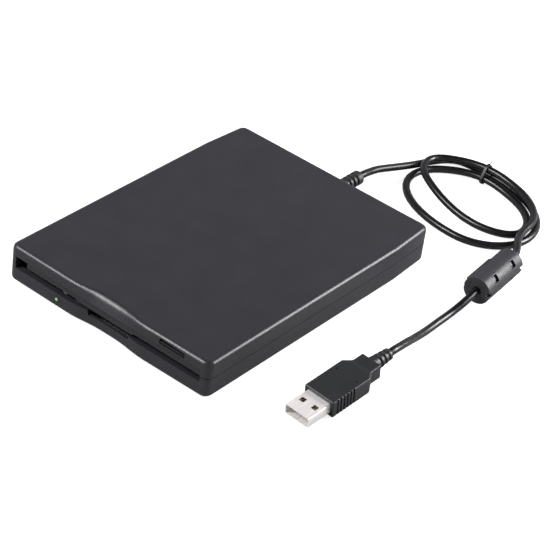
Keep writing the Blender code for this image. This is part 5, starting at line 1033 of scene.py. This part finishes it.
def make_feet():
    """Four rubber feet: stuck-on discs with a rounded lower edge and a shallow dished sole."""
    corners = [(side, end) for end in (-1, 1) for side in (-1, 1)]
    for number, (side, end) in enumerate(corners, 1):
        foot = turned(f"foot_pad_{number}", (side * FOOT_X, end * FOOT_Y, FOOT_HEIGHT),
                      FOOT_DIAMETER / 2, FACE_DOWN,
                      [(-FOOT_HEIGHT, 1), (0, FOOT_RIM_SHARE), (FOOT_DISH, FOOT_SOLE_SHARE)], 2)
        round_edges(foot, FOOT_EDGE, SOFT_STEPS)
        smooth(foot)
        dress(foot, "rubber", "case")
        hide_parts(f"rubber_foot_{number}")


def make_floor():
    """A wide pale floor that keeps the shadow and shows white to the camera."""
    deselect()
    bpy.ops.mesh.primitive_plane_add(size=FLOOR_SIZE, location=(0, 0, -FLOOR_DROP))
    floor = bpy.context.object
    floor.name = "studio_floor"
    paper = bpy.data.materials.new("White paper")
    paper.use_nodes = True
    tree = paper.node_tree
    tree.nodes.clear()
    matte = add_node(tree, "ShaderNodeBsdfDiffuse",
                     {"Color": (FLOOR_TONE, FLOOR_TONE, FLOOR_TONE, 1)})
    path = add_node(tree, "ShaderNodeLightPath")
    strength = add_node(tree, "ShaderNodeMath", {1: FLOOR_LIFT},
                        {0: path.outputs["Is Camera Ray"]}, operation="MULTIPLY")
    lift = add_node(tree, "ShaderNodeEmission", {"Color": WHITE},
                    {"Strength": strength.outputs["Value"]})
    both = add_node(tree, "ShaderNodeAddShader",
                    links={0: matte.outputs["BSDF"], 1: lift.outputs["Emission"]})
    add_node(tree, "ShaderNodeOutputMaterial", links={"Surface": both.outputs["Shader"]})
    floor.data.materials.append(paper)


def make_camera():
    """The photograph's camera, from its azimuth, elevation, roll and distance."""
    reach = math.cos(CAMERA_ELEVATION)
    back = Vector((math.sin(CAMERA_AZIMUTH) * reach, -math.cos(CAMERA_AZIMUTH) * reach,
                   math.sin(CAMERA_ELEVATION)))
    level = Vector((math.cos(CAMERA_AZIMUTH), math.sin(CAMERA_AZIMUTH), 0))
    upright = back.cross(level)
    right = level * math.cos(CAMERA_ROLL) + upright * math.sin(CAMERA_ROLL)
    up = back.cross(right)
    place = Vector(CAMERA_AIM) + back * CAMERA_DISTANCE
    seen = bpy.data.cameras.new("camera")
    seen.sensor_width = CAMERA_SENSOR
    seen.sensor_fit = "HORIZONTAL"
    seen.lens = CAMERA_LENS
    seen.clip_start = CAMERA_CLIP
    camera = bpy.data.objects.new("camera", seen)
    bpy.context.scene.collection.objects.link(camera)
    turn = Matrix((right, up, back)).transposed().to_4x4()
    camera.matrix_world = Matrix.Translation(place) @ turn
    bpy.context.scene.camera = camera


def softbox(name, place, aim, size, watts):
    """A square area lamp at a place, looking at a point."""
    lamp = bpy.data.lights.new(name, "AREA")
    lamp.shape = "RECTANGLE"
    lamp.size, lamp.size_y = size
    lamp.energy = watts
    box = bpy.data.objects.new(name, lamp)
    bpy.context.scene.collection.objects.link(box)
    box.location = place
    box.rotation_euler = (Vector(aim) - Vector(place)).to_track_quat("-Z", "Y").to_euler()


def make_world():
    """A soft grey surround: white to the camera, and darker towards the top in reflections."""
    world = bpy.data.worlds.new("Studio surround")
    bpy.context.scene.world = world
    world.use_nodes = True
    tree = world.node_tree
    back = tree.nodes["Background"]
    path = add_node(tree, "ShaderNodeLightPath").outputs
    either = add_node(tree, "ShaderNodeMath",
                      links={0: path["Is Camera Ray"], 1: path["Is Transmission Ray"]},
                      operation="MAXIMUM")
    seen = either.outputs["Value"]
    way = add_node(tree, "ShaderNodeTexCoord").outputs["Generated"]
    parts = add_node(tree, "ShaderNodeSeparateXYZ", links={"Vector": way})
    card = add_node(tree, "ShaderNodeMapRange",
                    {"From Min": MIRROR_LOW, "From Max": MIRROR_HIGH,
                     "To Min": MIRROR_NEAR, "To Max": MIRROR_FAR}, {"Value": parts.outputs["Z"]})
    soft = add_node(tree, "ShaderNodeMapRange", {"To Min": WORLD_LEVEL},
                    {"Value": path["Is Glossy Ray"], "To Max": card.outputs["Result"]})
    level = add_node(tree, "ShaderNodeMapRange", {"To Max": 1.0},
                     {"Value": seen, "To Min": soft.outputs["Result"]})
    tint = add_node(tree, "ShaderNodeMix", {"A": WORLD_TINT, "B": WHITE}, {"Factor": seen},
                    data_type="RGBA")
    tree.links.new(tint.outputs["Result"], back.inputs["Color"])
    tree.links.new(level.outputs["Result"], back.inputs["Strength"])


def make_studio():
    """Floor, surround and lamps: one box at the rear right and one at the front left."""
    make_floor()
    make_world()
    for lamp in LAMPS:
        softbox(*lamp)
    bpy.context.scene.view_settings.view_transform = "Standard"


# Camera, studio and the finishes of the solids that stay.
make_camera()
make_studio()
finish_solids()

# The cord and all that hangs on it.
cord, cord_length = make_cord()
make_strain_relief()
plug_pieces = [*make_plug_grip(), make_plug_shell()]
plug_pieces += [frame["nodes"][node] for node in (
    "plug_tongue", "plug_contact_1", "plug_contact_2", "plug_contact_3", "plug_contact_4")]
ferrite_pieces = [
    fine_copy("ferrite_case_lower", "ferrite_lower_shell", FERRITE_EDGE, shape=notch_barrel),
    fine_copy("ferrite_case_upper", "ferrite_upper_shell", FERRITE_EDGE, shape=window_barrel),
    *make_catches(),
    frame["nodes"]["ferrite_core_lower"],
    frame["nodes"]["ferrite_core_upper"],
]
tie = fine_copy("twist_tie", "cord_tie", TIE_EDGE, angle=TIE_ANGLE, shape=shorten_tail)

# The access light, the feet and the case.
make_light()
make_feet()
fine_copy("top_cover", "top_shell", CASE_EDGE, shape=roll_edge)
fine_copy("bottom_cover", "bottom_shell", CASE_EDGE)
fine_copy("slot_flap", "flap_blade", FLAP_EDGE)
fine_copy("eject_button", "button_cap", FLAP_EDGE)
